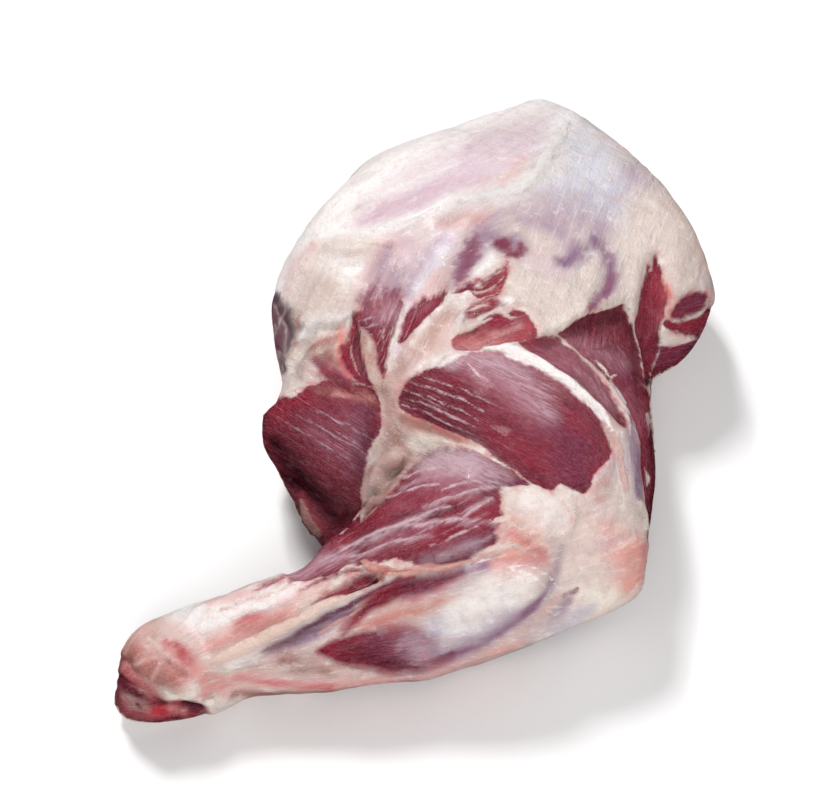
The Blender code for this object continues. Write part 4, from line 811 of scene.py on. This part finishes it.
# Noise for the colours and the mesh: size of the features, octaves, and a shift that picks a place
NOISE_SEED = 7
NOISE_GRID = 32
OCTAVE_SHIFT = 17.3
NOISES = {
    "streaks": ((20, 2.2, 1), 2, 0),
    "side_bare": ((46, 46, 20), 2, 0),
    "side_pale": (25, 1, 0),
    "side_through": (30, 1, 20),
    "side_dark": (30, 1, 50),
    "crumb": (5.5, 2, 0),
    "grain": ((24, 3.2, 1), 2, 0),
    "swell": (15, 2, 0),
    "ruck": ((9, 9, 6), 2, 90),
}
STREAK_STRENGTH = 1.2
LEAST_SHARE = 0.001

# Heights of the relief in the mesh, and the stretches over which it comes up
FELL_THICKNESS = 1.0
FELL_EDGE = (-1.2, 1.2)
SHARP_FADE = 0.6
BAND_EDGE = (-1.2, 0.9)
CRUMB_HEIGHT = 1.3
FIBRE_HEIGHT = 0.55
FIBRE_LEAST = 0.35
SWELL_HEIGHT = 1.0
RUCK_HEIGHT = 0.8
OFF_TABLE = (0.5, 6)
# How light the muscle has to be for pale lines, and the fell for its own
LIT_RED = (0.03, 0.2)
AIRY_GREEN = (0.12, 0.45)
AIRY_LEAST = 0.3

# Noise in the material: features in a millimetre, detail and roughness. The first ones are drawn
# out along the fibres.
GRAINS = {
    "fine": ((0.32, 2.2, 1), 4, 0.6),
    "coarse": ((0.03, 0.34, 1), 3, 0.5),
    "strands": ((0.13, 0.85, 1), 4, 0.6),
    "lines": ((0.025, 0.62, 1), 2, 0.5),
}
SPECKS = {
    "blotch": ((0.16,) * 3, 4, 0.6),
    "grit": ((1.5,) * 3, 3, 0.65),
    "tears": ((0.3,) * 3, 5, 0.55),
    "mottle": ((0.4,) * 3, 5, 0.65),
}
WISPS = ((0.035, 0.4, 1), 2.5, 0.5)
WISP_EDGE = (0.03, 0.006)

# Colours laid over one another: colour, how much of it shows, and what that depends on, each by
# name or with where it starts, where it is full and what is left where it hasn't started
MUSCLE_LAYERS = (
    ("muscle_pink", 0.5, ("fine", 0.42, 0.72), ("mottle", 0.4, 0.6, 0.4), "lit"),
    ("muscle_dark", 0.4, ("mottle", 0.5, 0.32)),
    ("muscle_deep", 0.3, ("coarse", 0.46, 0.32)),
    ("muscle_red", 0.4, ("blotch", 0.5, 0.68), "lit"),
    ("milk", 0.35, ("grit", 0.6, 0.74), "lit"),
    ("milk", 0.6, "septum"),
    # milk where the film lies, and as painted sheen
    ("milk", 1, "veil", ("strands", 0.35, 0.65, 0.25)),
    # painted glints: pale specks laid into the colour as highlights
    ("pink_lavender", 1, "wet"),
)
FELL_LAYERS = (
    ("tan", 0.3, ("blotch", 0.5, 0.72)),
    ("white", 0.4, ("blotch", 0.44, 0.3)),
    ("mauve", 0.2, ("coarse", 0.54, 0.68)),
    ("white", 0.35, ("strands", 0.52, 0.7)),
    ("dull_cream", 0.25, ("mottle", 0.5, 0.36)),
    ("white", 0.2, ("fine", 0.56, 0.66), ("blotch", 0.42, 0.6)),
    ("white", 0.12, "wisps", ("blotch", 0.45, 0.6)),
)
LATE_FELL_LAYERS = (
    ("orange_pink", 0.3, "crumb", ("grit", 0.5, 0.68)),
    ("white", 0.55, "crumb", ("grit", 0.46, 0.34)),
    ("red_tint", 0.4, ("edge", -3, -0.3), ("blotch", 0.42, 0.62)),
)
BAND_LAYERS = (("rose", 0.45, ("fine", 0.45, 0.7)),)
BAND_SHARE = 0.92
# What lies on the muscle in lines, and the glints painted into its colour as pale specks
SEPTUM = (("lines", 0.58, 0.66), "lined", ("mottle", 0.38, 0.55, 0.2), "lit")
GLINTS = ("wisps", ("blotch", 0.42, 0.58, 0.2))
GLINT_ON_FILM_AND_SHEEN = 0.9
GLINT_ELSEWHERE = 0.06

# Edges of bare muscle and of bands: how ragged and how torn along the fibres, by their fade
RAGGED = (2.4, 1.0)
TORN = (4.0, -0.6)
FADE_TURN = 1.7
FADE_LEAST = 0.15
BAND_TORN = 2.2
BAND_RAGGED = 0.6
BAND_MASK_EDGE = (-0.4, 0.5)
# How the darker fell shows through: what breaks it up, and where it starts and is full
BROKEN_STRANDS = 0.6
BROKEN_MOTTLE = 0.7
BROKEN_MIDDLE = 0.65
BROKEN_STRENGTH = 2.0
BROKEN_EDGE = (0.2, 0.85)

# Roughness of the fell and the muscle, and the bump's heights in millimetres: plain ones, and
# those that grow with another value
FELL_ROUGHNESS = ("blotch", 0.3, 0.7, 0.28, 0.5)
MUSCLE_ROUGHNESS = ("fine", 0.3, 0.7, 0.18, 0.34)
BUMPS = {
    "muscle": -0.3,
    "band": 0.3,
    "septum": 0.25,
    "wet": 0.5,
    "blotch": 1.2,
    "mottle": 1.0,
    "shown": -0.3,
}
GROWING_BUMPS = {
    "fine": ("muscle", 0.3, 0.5),
    "strands": ("muscle", 0.4, 0.6),
    "grit": ("crumb", 0.7, 1.5),
}
FLESH = {
    "Subsurface Weight": 0.15,
    "Subsurface Radius": (1.0, 0.42, 0.32),
    "Subsurface Scale": 2.5 * MM,
    "Specular IOR Level": 0.25,
    "Coat Weight": 0.06,
    "Coat Roughness": 0.1,
}

# The studio, in metres and watts: name, place, target, size and power
LIGHTS = (
    ("key", (-0.4, 0.6, 1.3), (0, 0.03, 0.03), 0.4, 15),
    ("fill", (0.15, -1.15, 0.85), (0, 0, 0.03), 1.0, 13),
    ("right", (0.9, 0.3, 0.9), (0, 0, 0.03), 0.8, 1.5),
    ("glint", (-0.3, 0.75, 1.1), (0, 0, 0.03), 0.08, 2.5),
)
WORLD_STRENGTH = 0.28
FLOOR_HALF_SIZE = 3.0
FLOOR = {"Base Color": (0.9, 0.9, 0.9, 1), "Roughness": 0.9, "Specular IOR Level": 0.1}


def linear(name):
    """A palette colour in linear light."""
    return np.array(Color([part / FULL for part in PALETTE[name]]).from_srgb_to_scene_linear())


def ease(value, low, high):
    share = np.clip((value - low) / (high - low), 0, 1)
    return share * share * (3 - 2 * share)


def blend(share, first, second):
    """The first where the share is nought, the second where it is one."""
    share = np.reshape(share, (-1,) + (1,) * (np.ndim(second) - 1))
    return first * (1 - share) + second * share


def smooth_line(points, closed=False):
    """Points along a smooth curve that passes through the given ones."""
    if closed:
        given = np.vstack([points[-1:], points, points[:2]])
    else:
        given = np.vstack([2 * points[0] - points[1], points, 2 * points[-1] - points[-2]])
    about = np.stack([given[:-3], given[1:-2], given[2:-1], given[3:]])
    powers = np.linspace(0, 1, CURVE_PARTS, endpoint=False)[:, None] ** np.arange(len(CURVE))
    curve = np.einsum("tp,pk,kna->nta", powers, CURVE, about).reshape(-1, given.shape[1])
    return curve if closed else np.vstack([curve, given[-2:-1]])


def stroke_points(radius, *points):
    """A stroke's points, each with a radius of its own."""
    return np.array([(*point, radius)[:3] for point in points], float)


def close_to(spots, points, reach):
    """Which spots are within reach of the box round some points."""
    low, high = points[:, :2].min(axis=0) - reach, points[:, :2].max(axis=0) + reach
    return np.nonzero(((spots > low) & (spots < high)).all(axis=1))[0]


def outline_depth(spots, outline):
    """How far inside a closed line each spot is, below nought outside."""
    ring = smooth_line(outline, closed=True)
    nearest, winding = np.full(len(spots), np.inf), np.zeros(len(spots))
    for start, end in zip(ring, np.roll(ring, -1, axis=0)):
        to_start, to_end, side = start - spots, end - spots, end - start
        along = np.clip(-(to_start @ side) / (side @ side), 0, 1)
        nearest = np.minimum(nearest, np.linalg.norm(to_start + along[:, None] * side, axis=1))
        cross = to_start[:, 0] * to_end[:, 1] - to_start[:, 1] * to_end[:, 0]
        winding += np.arctan2(cross, (to_start * to_end).sum(axis=1))
    return np.where(np.abs(winding) > math.pi, nearest, -nearest)


def stretches(spots, points):
    """For each stretch of a stroke, how far off the spots are and the stroke's radius there."""
    line = smooth_line(points)
    for start, end in zip(line[:-1], line[1:]):
        side = end[:2] - start[:2]
        along = np.clip((spots - start[:2]) @ side / (side @ side), 0, 1)
        away = np.linalg.norm(spots - start[:2] - along[:, None] * side, axis=1)
        yield away, np.maximum(start[2] + along * (end[2] - start[2]), THINNEST)


def stroke_depth(spots, points):
    """How far inside a stroke each spot is, below nought outside."""
    return np.max([radius - away for away, radius in stretches(spots, points)], axis=0)


def soft_stroke(spots, *stroke):
    """Which spots a soft stroke touches, and how strongly."""
    points = stroke_points(*stroke)
    index = close_to(spots, points, SOFT_REACH * points[:, 2].max())
    ratio = np.min([away / radius for away, radius in stretches(spots[index], points)], axis=0)
    return index, np.exp(-((ratio / SOFT_FADE) ** 2))


def most_of(spots, strokes):
    """The strongest of some soft strokes at each spot."""
    weight = np.zeros(len(spots))
    for strength, *stroke in strokes:
        index, share = soft_stroke(spots, *stroke)
        weight[index] = np.maximum(weight[index], strength * share)
    return weight


RANDOM_GRID = np.random.default_rng(NOISE_SEED).random((NOISE_GRID,) * 3)


def lattice_noise(places, size, octaves=1):
    """Smooth noise from 0 to 1 with features of the given size, from a seeded grid."""
    total, weight = np.zeros(len(places)), 0
    for octave in range(octaves):
        spots = places * 2**octave / np.array(size) + OCTAVE_SHIFT * octave
        cell = np.floor(spots).astype(int)
        part = ease(spots - cell, 0, 1)
        for corner in np.ndindex(2, 2, 2):
            share = np.prod(np.where(corner, part, 1 - part), axis=1)
            total += share * RANDOM_GRID[tuple(((cell + corner) % NOISE_GRID).T)] / 2**octave
        weight += 1 / 2**octave
    return total / weight


def noise_of(name, places):
    size, octaves, shift = NOISES[name]
    return lattice_noise(places + shift, size, octaves)


def new_object(name, data):
    obj = bpy.data.objects.new(name, data)
    bpy.context.scene.collection.objects.link(obj)
    return obj


def new_mesh(name, bm):
    mesh = bpy.data.meshes.new(name)
    bm.to_mesh(mesh)
    bm.free()
    return mesh


def aim(obj, direction):
    obj.rotation_euler = Vector(direction).to_track_quat("-Z", "Y").to_euler()


def modify(obj, kind, **settings):
    modifier = obj.modifiers.new(kind.lower(), kind)
    for name, value in settings.items():
        setattr(modifier, name, value)


def apply_modifiers(obj):
    graph = bpy.context.evaluated_depsgraph_get()
    obj.data = bpy.data.meshes.new_from_object(obj.evaluated_get(graph))
    obj.modifiers.clear()


def read_mesh(mesh):
    """Places in millimetres, and normals."""
    places, normals = np.empty(len(mesh.vertices) * 3), np.empty(len(mesh.vertices) * 3)
    mesh.vertices.foreach_get("co", places)
    mesh.vertex_normals.foreach_get("vector", normals)
    return places.reshape(-1, 3) / MM, normals.reshape(-1, 3)


def board_spots(places, normals):
    """Where each place falls on the board, and how squarely it faces the eye."""
    sight = places - EYE
    spots = np.stack([sight @ ACROSS, sight @ UP], axis=1) * (EYE_DISTANCE / (sight @ AWAY))[:, None]
    return spots, -(normals * sight).sum(axis=1) / np.linalg.norm(sight, axis=1)


def meat_skin():
    """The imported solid's surface, skinned with small even faces where the eye sees it."""
    bm = bmesh.new()
    bm.from_mesh(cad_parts[NODE].data)
    bmesh.ops.remove_doubles(bm, verts=bm.verts, dist=WELD_DISTANCE * MM)
    obj = new_object("lamb_meat", new_mesh("lamb_meat", bm))
    modify(obj, "REMESH", mode="VOXEL", voxel_size=SKIN_VOXEL * MM)
    modify(obj, "SMOOTH", factor=SKIN_SMOOTH_SHARE, iterations=SKIN_SMOOTH_STEPS)
    apply_modifiers(obj)
    far = board_spots(*read_mesh(obj.data))[1] < FAR_FACING
    group = obj.vertex_groups.new(name="far")
    group.add([int(i) for i in np.nonzero(far)[0]], 1.0, "REPLACE")
    kept = 1 - far.mean() * FAR_FACES_DROPPED
    modify(obj, "DECIMATE", ratio=kept, vertex_group=group.name, vertex_group_factor=FAR_WEIGHT)
    apply_modifiers(obj)
    obj.vertex_groups.clear()
    return obj


def bare_muscle(spots):
    """How far inside bare muscle each spot is, and how far its edge fades."""
    shapes = [(outline_depth, fade, np.array(line, float)) for fade, *line in BARE_OUTLINES.values()]
    shapes += [(stroke_depth, fade, stroke_points(*line)) for fade, *line in BARE_STROKES.values()]
    depth, fades = np.full(len(spots), -SHAPE_REACH, float), np.ones(len(spots))
    for depth_in, fade, points in shapes:
        index = close_to(spots, points, SHAPE_REACH)
        inside = depth_in(spots[index], points)
        deeper = inside > depth[index]
        depth[index[deeper]] = inside[deeper]
        fades[index[deeper]] = fade
    return depth, fades


def band_field(spots):
    """How far inside a band each spot is, and the band's colour and height."""
    depth, height = np.full(len(spots), -SHAPE_REACH, float), np.zeros(len(spots))
    colour = np.tile(linear("cream"), (len(spots), 1))
    for name, rise, *stroke in BANDS:
        points = stroke_points(*stroke)
        index = close_to(spots, points, SHAPE_REACH)
        inside = stroke_depth(spots[index], points)
        deeper = inside > depth[index]
        depth[index[deeper]] = inside[deeper]
        colour[index[deeper]] = linear(name)
        height[index] = np.maximum(height[index], rise * ease(inside, *BAND_EDGE))
    return depth, colour, height


def side_angle(places):
    return np.arctan2(places[:, 1] - SIDE_CENTRE[1], places[:, 0] - SIDE_CENTRE[0])


def side_muscle(places):
    """The same round the sides: patches in layers, with seams of fat between them."""
    depth = (noise_of("side_bare", places) - SIDE_BARE_SHARE) * SIDE_BARE_SLOPE
    angle = side_angle(places)
    for height, swing, swings, start, half_width in SIDE_SEAMS:
        level = height + swing * np.sin(swings * angle + start)
        depth = np.minimum(depth, np.abs(places[:, 2] - level) - half_width)
    return depth


def painted(spots, strokes, streaks):
    """Each stroke's colour by name, the spots that it touches, and how much of it they take."""
    for name, strength, *stroke in strokes:
        index, share = soft_stroke(spots, *stroke)
        yield name, index, np.clip(strength * share * streaks[index], 0, 1)


def paint_muscle(spots, streaks):
    colour = np.tile(linear("muscle"), (len(spots), 1))
    for name, index, share in painted(spots, MUSCLE_STROKES, streaks):
        colour[index] = blend(share, colour[index], linear(name)[None])
    return colour


def paint_fell(spots, streaks):
    """The fell's pale colour, the darker one that shows through it, and how much it does."""
    pale, dark = (np.tile(linear(name), (len(spots), 1)) for name in ("cream", "rose"))
    through = np.zeros(len(spots))
    for name, index, share in painted(spots, FELL_STROKES, streaks):
        if name in PATCHY_COLOURS:
            through[index] += share - through[index] * share
            part = share / np.maximum(through[index], LEAST_SHARE)
            dark[index] = blend(part, dark[index], linear(name)[None])
        else:
            pale[index] = blend(share, pale[index], linear(name)[None])
            through[index] *= 1 - share
    return pale, dark, through


def fine_forms(spots):
    height = np.zeros(len(spots))
    for rise, *stroke in RELIEF:
        index, share = soft_stroke(spots, *stroke)
        height[index] += rise * share
    return height


def fibre_coordinates(spots):
    """Coordinates along and across the fibres of whichever muscle is nearest, and a number that
    falls to nought where another muscle is as near."""

    def farness(place, reach):
        return np.linalg.norm(spots - np.array(place), axis=1) / reach

    def flat(along, across, step):
        return np.stack([along, across, np.full(len(spots), float(step))], axis=1)

    far, fibres = [], []
    for number, (place, reach, degrees) in enumerate(FIBRES):
        right, up = math.cos(math.radians(degrees)), math.sin(math.radians(degrees))
        far.append(farness(place, reach))
        fibres.append(flat(spots @ (right, up), spots @ (-up, right), FIBRE_STEP * number))
    turn = np.arctan2(*(spots - np.array(LEG_FAN_CENTRE)).T[::-1])
    far.append(np.min([farness(*spot) for spot in LEG_SPOTS], axis=0))
    fibres.append(flat(farness(LEG_FAN_CENTRE, 1), turn * LEG_FAN_SPREAD, FAN_STEP))
    nearest, second = np.partition(far, 1, axis=0)[:2]
    chosen = np.array(fibres)[np.argmin(far, axis=0), np.arange(len(spots))]
    return chosen, ease(second - nearest, 0, STEADY_REACH)


def side_fibres(places):
    step = np.full(len(places), float(SIDE_RADIUS))
    return np.stack([side_angle(places) * SIDE_RADIUS, places[:, 2], step], axis=1)


def store(mesh, name, values):
    if values.ndim == 1:
        kind, key = "FLOAT", "value"
    elif name.endswith("colour"):
        kind, key = "FLOAT_COLOR", "color"
        values = np.hstack([values, np.ones((len(values), 1))])
    else:
        kind, key = "FLOAT_VECTOR", "vector"
    attribute = mesh.attributes.new(name, kind, "POINT")
    attribute.data.foreach_set(key, np.ascontiguousarray(values, np.float32).ravel())


def dress(mesh):
    """Work the relief into the mesh, and keep on it what the material reads."""
    places, normals = read_mesh(mesh)
    true_spots, facing = board_spots(places, normals)
    seen = ease(facing, *SEEN_FACING)
    strays = [
        sum(reach * (lattice_noise(places + shift, size) - 0.5) for reach, size in STRAYS)
        for shift in STRAY_SHIFTS
    ]
    spots = true_spots + np.stack(strays, axis=1)
    fibre, steady = fibre_coordinates(true_spots)
    on_board = seen > 0.5
    fibre = np.where(on_board[:, None], fibre, side_fibres(places))
    steady = np.where(on_board, steady, 1) * ease(np.abs(seen - 0.5), 0, SIDE_STEADY_REACH)
    streaks = 1 + STREAK_STRENGTH * steady * (noise_of("streaks", fibre) - 0.5)

    kept = {"fibre": fibre, "steady": steady}
    depth, fade = bare_muscle(spots)
    kept["bare"] = blend(seen, side_muscle(places), depth)
    kept["fade"] = fade = blend(seen, 1, fade)
    band, kept["band_colour"], band_height = band_field(spots)
    kept["band"] = blend(seen, SIDE_BAND_DEPTH, band)
    fell, kept["dark_colour"], through = paint_fell(spots, streaks)
    side_fell = blend(noise_of("side_pale", places), linear("dull_cream"), linear("cream")[None])
    kept["fell_colour"] = fell = blend(seen, side_fell, fell)
    kept["through"] = blend(seen, SIDE_THROUGH * noise_of("side_through", places), through)
    side_red = blend(noise_of("side_dark", places), linear("muscle"), linear("muscle_dark")[None])
    kept["muscle_colour"] = muscle = blend(seen, side_red, paint_muscle(spots, streaks))
    kept["lit"] = ease(muscle[:, 0], *LIT_RED)
    kept["airy"] = AIRY_LEAST + (1 - AIRY_LEAST) * ease(fell[:, 1], *AIRY_GREEN)
    # the milky film over the muscle, and the painted sheen
    kept["veil"] = most_of(spots, FILM_AND_SHEEN_STROKES) * seen
    kept["lined"] = lined = blend(seen, SIDE_LINED, most_of(spots, LINED_STROKES))
    kept["crumb"] = crumb = most_of(spots, CRUMB_STROKES) * seen

    cover = 1 - ease(kept["bare"], *FELL_EDGE)
    grain = (noise_of("grain", fibre) - 0.5) * steady
    ruck = 1 - np.abs(noise_of("ruck", places) * 2 - 1)
    relief = FELL_THICKNESS * (cover - 0.5) * np.minimum(1, SHARP_FADE / fade)
    relief += (band_height + fine_forms(spots)) * seen
    relief += CRUMB_HEIGHT * crumb * (noise_of("crumb", places) - 0.5)
    relief += FIBRE_HEIGHT * grain * blend(np.maximum(1 - cover, lined), FIBRE_LEAST, 1)
    relief += SWELL_HEIGHT * (noise_of("swell", places) - 0.5) + RUCK_HEIGHT * ruck * cover
    places += normals * (relief * ease(places[:, 2], *OFF_TABLE))[:, None]
    mesh.vertices.foreach_set("co", (places * MM).ravel())
    mesh.update()
    for name, values in kept.items():
        store(mesh, name, values)
    mesh.shade_smooth()


def new_material(name, settings):
    material = bpy.data.materials.new(name)
    material.use_nodes = True
    surface = material.node_tree.nodes["Principled BSDF"]
    for socket, value in settings.items():
        surface.inputs[socket].default_value = value
    return material


MEAT = new_material("raw_lamb_dressed", FLESH)
NODES = MEAT.node_tree


def feed(socket, value):
    if isinstance(value, Value):
        NODES.links.new(value.socket, socket)
    else:
        socket.default_value = value


class Value:
    """A number, colour or place that varies over the meat: what a node of its material gives."""

    def __init__(self, kind, inputs=(), output=0, **settings):
        node = NODES.nodes.new("ShaderNode" + kind)
        for name, setting in settings.items():
            setattr(node, name, setting)
        for socket, value in inputs:
            feed(node.inputs[socket], value)
        self.socket = node.outputs[output]

    def math(self, operation, *others):
        return Value("Math", enumerate((self, *others)), operation=operation)

    def __add__(self, other):
        return self.math("ADD", other)

    def __sub__(self, other):
        return self.math("SUBTRACT", other)

    def __mul__(self, other):
        return self.math("MULTIPLY", other)

    def __truediv__(self, other):
        return self.math("DIVIDE", other)

    def spread(self, low, high, to_low=0, to_high=1):
        """Eased from one value to the other between two limits."""
        ends = enumerate((self, low, high, to_low, to_high))
        return Value("MapRange", ends, interpolation_type="SMOOTHSTEP")


def mix(share, first, second):
    return Value("Mix", ((0, share), (6, first), (7, second)), 2, data_type="RGBA")


def mix_numbers(share, first, second):
    return Value("Mix", ((0, share), (2, first), (3, second)))


def attribute(name, output="Fac"):
    return Value("Attribute", output=output, attribute_name=name)


def stretch(vector, scale):
    return Value("VectorMath", ((0, vector), (1, scale)), operation="MULTIPLY")


def noise(vector, scale, detail, roughness):
    inputs = {"Vector": stretch(vector, scale), "Scale": 1, "Detail": detail, "Roughness": roughness}
    return Value("TexNoise", inputs.items())


def product(fields, parts):
    """The parts multiplied: each a field's name, or the name and how it is spread."""
    result = None
    for part in parts:
        if isinstance(part, str):
            factor = fields[part]
        else:
            factor = fields[part[0]].spread(*part[1:])
        result = factor if result is None else result * factor
    return result


def lay(colour, layers, fields):
    """Colours laid over another one."""
    for name, most, *parts in layers:
        colour = mix(product(fields, parts) * most, colour, (*linear(name), 1))
    return colour


def dress_material():
    """Muscle, fell and bands, mixed by the distances kept on the mesh, with ragged edges."""
    names = ("bare", "fade", "band", "veil", "lined", "crumb", "lit", "steady", "through", "airy")
    fields = {name: attribute(name) for name in names}
    fibre = attribute("fibre", "Vector")
    place = stretch(Value("TexCoord", output="Object"), (1 / MM,) * 3)
    for name, sizes in SPECKS.items():
        fields[name] = noise(place, *sizes)
    for name, sizes in GRAINS.items():
        # steady, so that nothing shows where two muscles' fibres meet
        fields[name] = (noise(fibre, *sizes) - 0.5) * fields["steady"] + 0.5
    wisps = (noise(fibre, *WISPS) - 0.5).math("ABSOLUTE")
    fields["wisps"] = wisps.spread(*WISP_EDGE) * fields["steady"]

    fade, strands = fields["fade"], fields["strands"]
    rough = fade.math("MINIMUM", (fade * -1 + FADE_TURN).math("MAXIMUM", FADE_LEAST))
    ragged = (fields["tears"] - 0.5) * (rough * RAGGED[0] + RAGGED[1])
    torn = (strands - 0.5) * (rough * TORN[0] + TORN[1])
    fields["edge"] = edge = fields["bare"] + ragged + torn
    fields["muscle"] = muscle_mask = (edge / fade).spread(-1, 1)
    band_edge = fields["band"] + (strands - 0.5) * BAND_TORN + ragged * BAND_RAGGED
    fields["band"] = band_mask = band_edge.spread(*BAND_MASK_EDGE)
    fields["septum"] = product(fields, SEPTUM)
    # painted glints, stronger where the film and the painted sheen lie
    glints = fields["veil"] * GLINT_ON_FILM_AND_SHEEN + GLINT_ELSEWHERE
    fields["wet"] = product(fields, GLINTS) * glints

    muscle = lay(attribute("muscle_colour", "Color"), MUSCLE_LAYERS, fields)
    plain = attribute("fell_colour", "Color")
    fell = mix(fields["airy"], plain, lay(plain, FELL_LAYERS, fields))
    broken = strands * BROKEN_STRANDS + fields["mottle"] * BROKEN_MOTTLE - BROKEN_MIDDLE
    broken = broken * BROKEN_STRENGTH + fields["through"]
    fields["shown"] = mix_numbers(0.5, fields["through"], broken.spread(*BROKEN_EDGE))
    fell = mix(fields["shown"], fell, attribute("dark_colour", "Color"))
    fell = lay(fell, LATE_FELL_LAYERS, fields)
    tendon = lay(attribute("band_colour", "Color"), BAND_LAYERS, fields)
    colour = mix(band_mask * BAND_SHARE, mix(muscle_mask, fell, muscle), tendon)

    heights = [fields[name] * rise for name, rise in BUMPS.items()]
    for name, (by, least, most) in GROWING_BUMPS.items():
        heights.append((fields[name] - 0.5) * fields[by].spread(0, 1, least, most))
    height = sum(heights[1:], heights[0])
    bump = Value("Bump", (("Strength", 1), ("Distance", MM), ("Height", height)))
    inputs = NODES.nodes["Principled BSDF"].inputs
    feed(inputs["Base Color"], colour)
    dull, shiny = (product(fields, [sizes]) for sizes in (FELL_ROUGHNESS, MUSCLE_ROUGHNESS))
    feed(inputs["Roughness"], mix_numbers(muscle_mask, dull, shiny))
    feed(inputs["Normal"], bump)


meat = meat_skin()
dress(meat.data)
dress_material()
meat.data.materials.clear()
meat.data.materials.append(MEAT)
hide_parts(NODE)
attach(meat, "root")

bm = bmesh.new()
bmesh.ops.create_grid(bm, x_segments=1, y_segments=1, size=FLOOR_HALF_SIZE)
floor = new_object("floor", new_mesh("floor", bm))
floor.data.materials.append(new_material("pale_floor", FLOOR))
floor.visible_glossy = False

for name, place, target, size, power in LIGHTS:
    light = bpy.data.lights.new(name, "AREA")
    light.shape = "DISK"
    light.size = size
    light.energy = power
    lamp = new_object(name, light)
    lamp.location = place
    aim(lamp, Vector(target) - Vector(place))
world = bpy.data.worlds.new("studio")
bpy.context.scene.world = world
world.use_nodes = True
background = world.node_tree.nodes["Background"]
background.inputs["Color"].default_value = (1, 1, 1, 1)
background.inputs["Strength"].default_value = WORLD_STRENGTH
world.cycles_visibility.glossy = False
bpy.context.scene.view_settings.view_transform = "Standard"

lens = bpy.data.cameras.new("camera")
lens.lens = LENS
lens.sensor_width = SENSOR
camera = new_object("camera", lens)
camera.location = Vector(EYE * MM)
aim(camera, AWAY)
bpy.context.scene.camera = camera
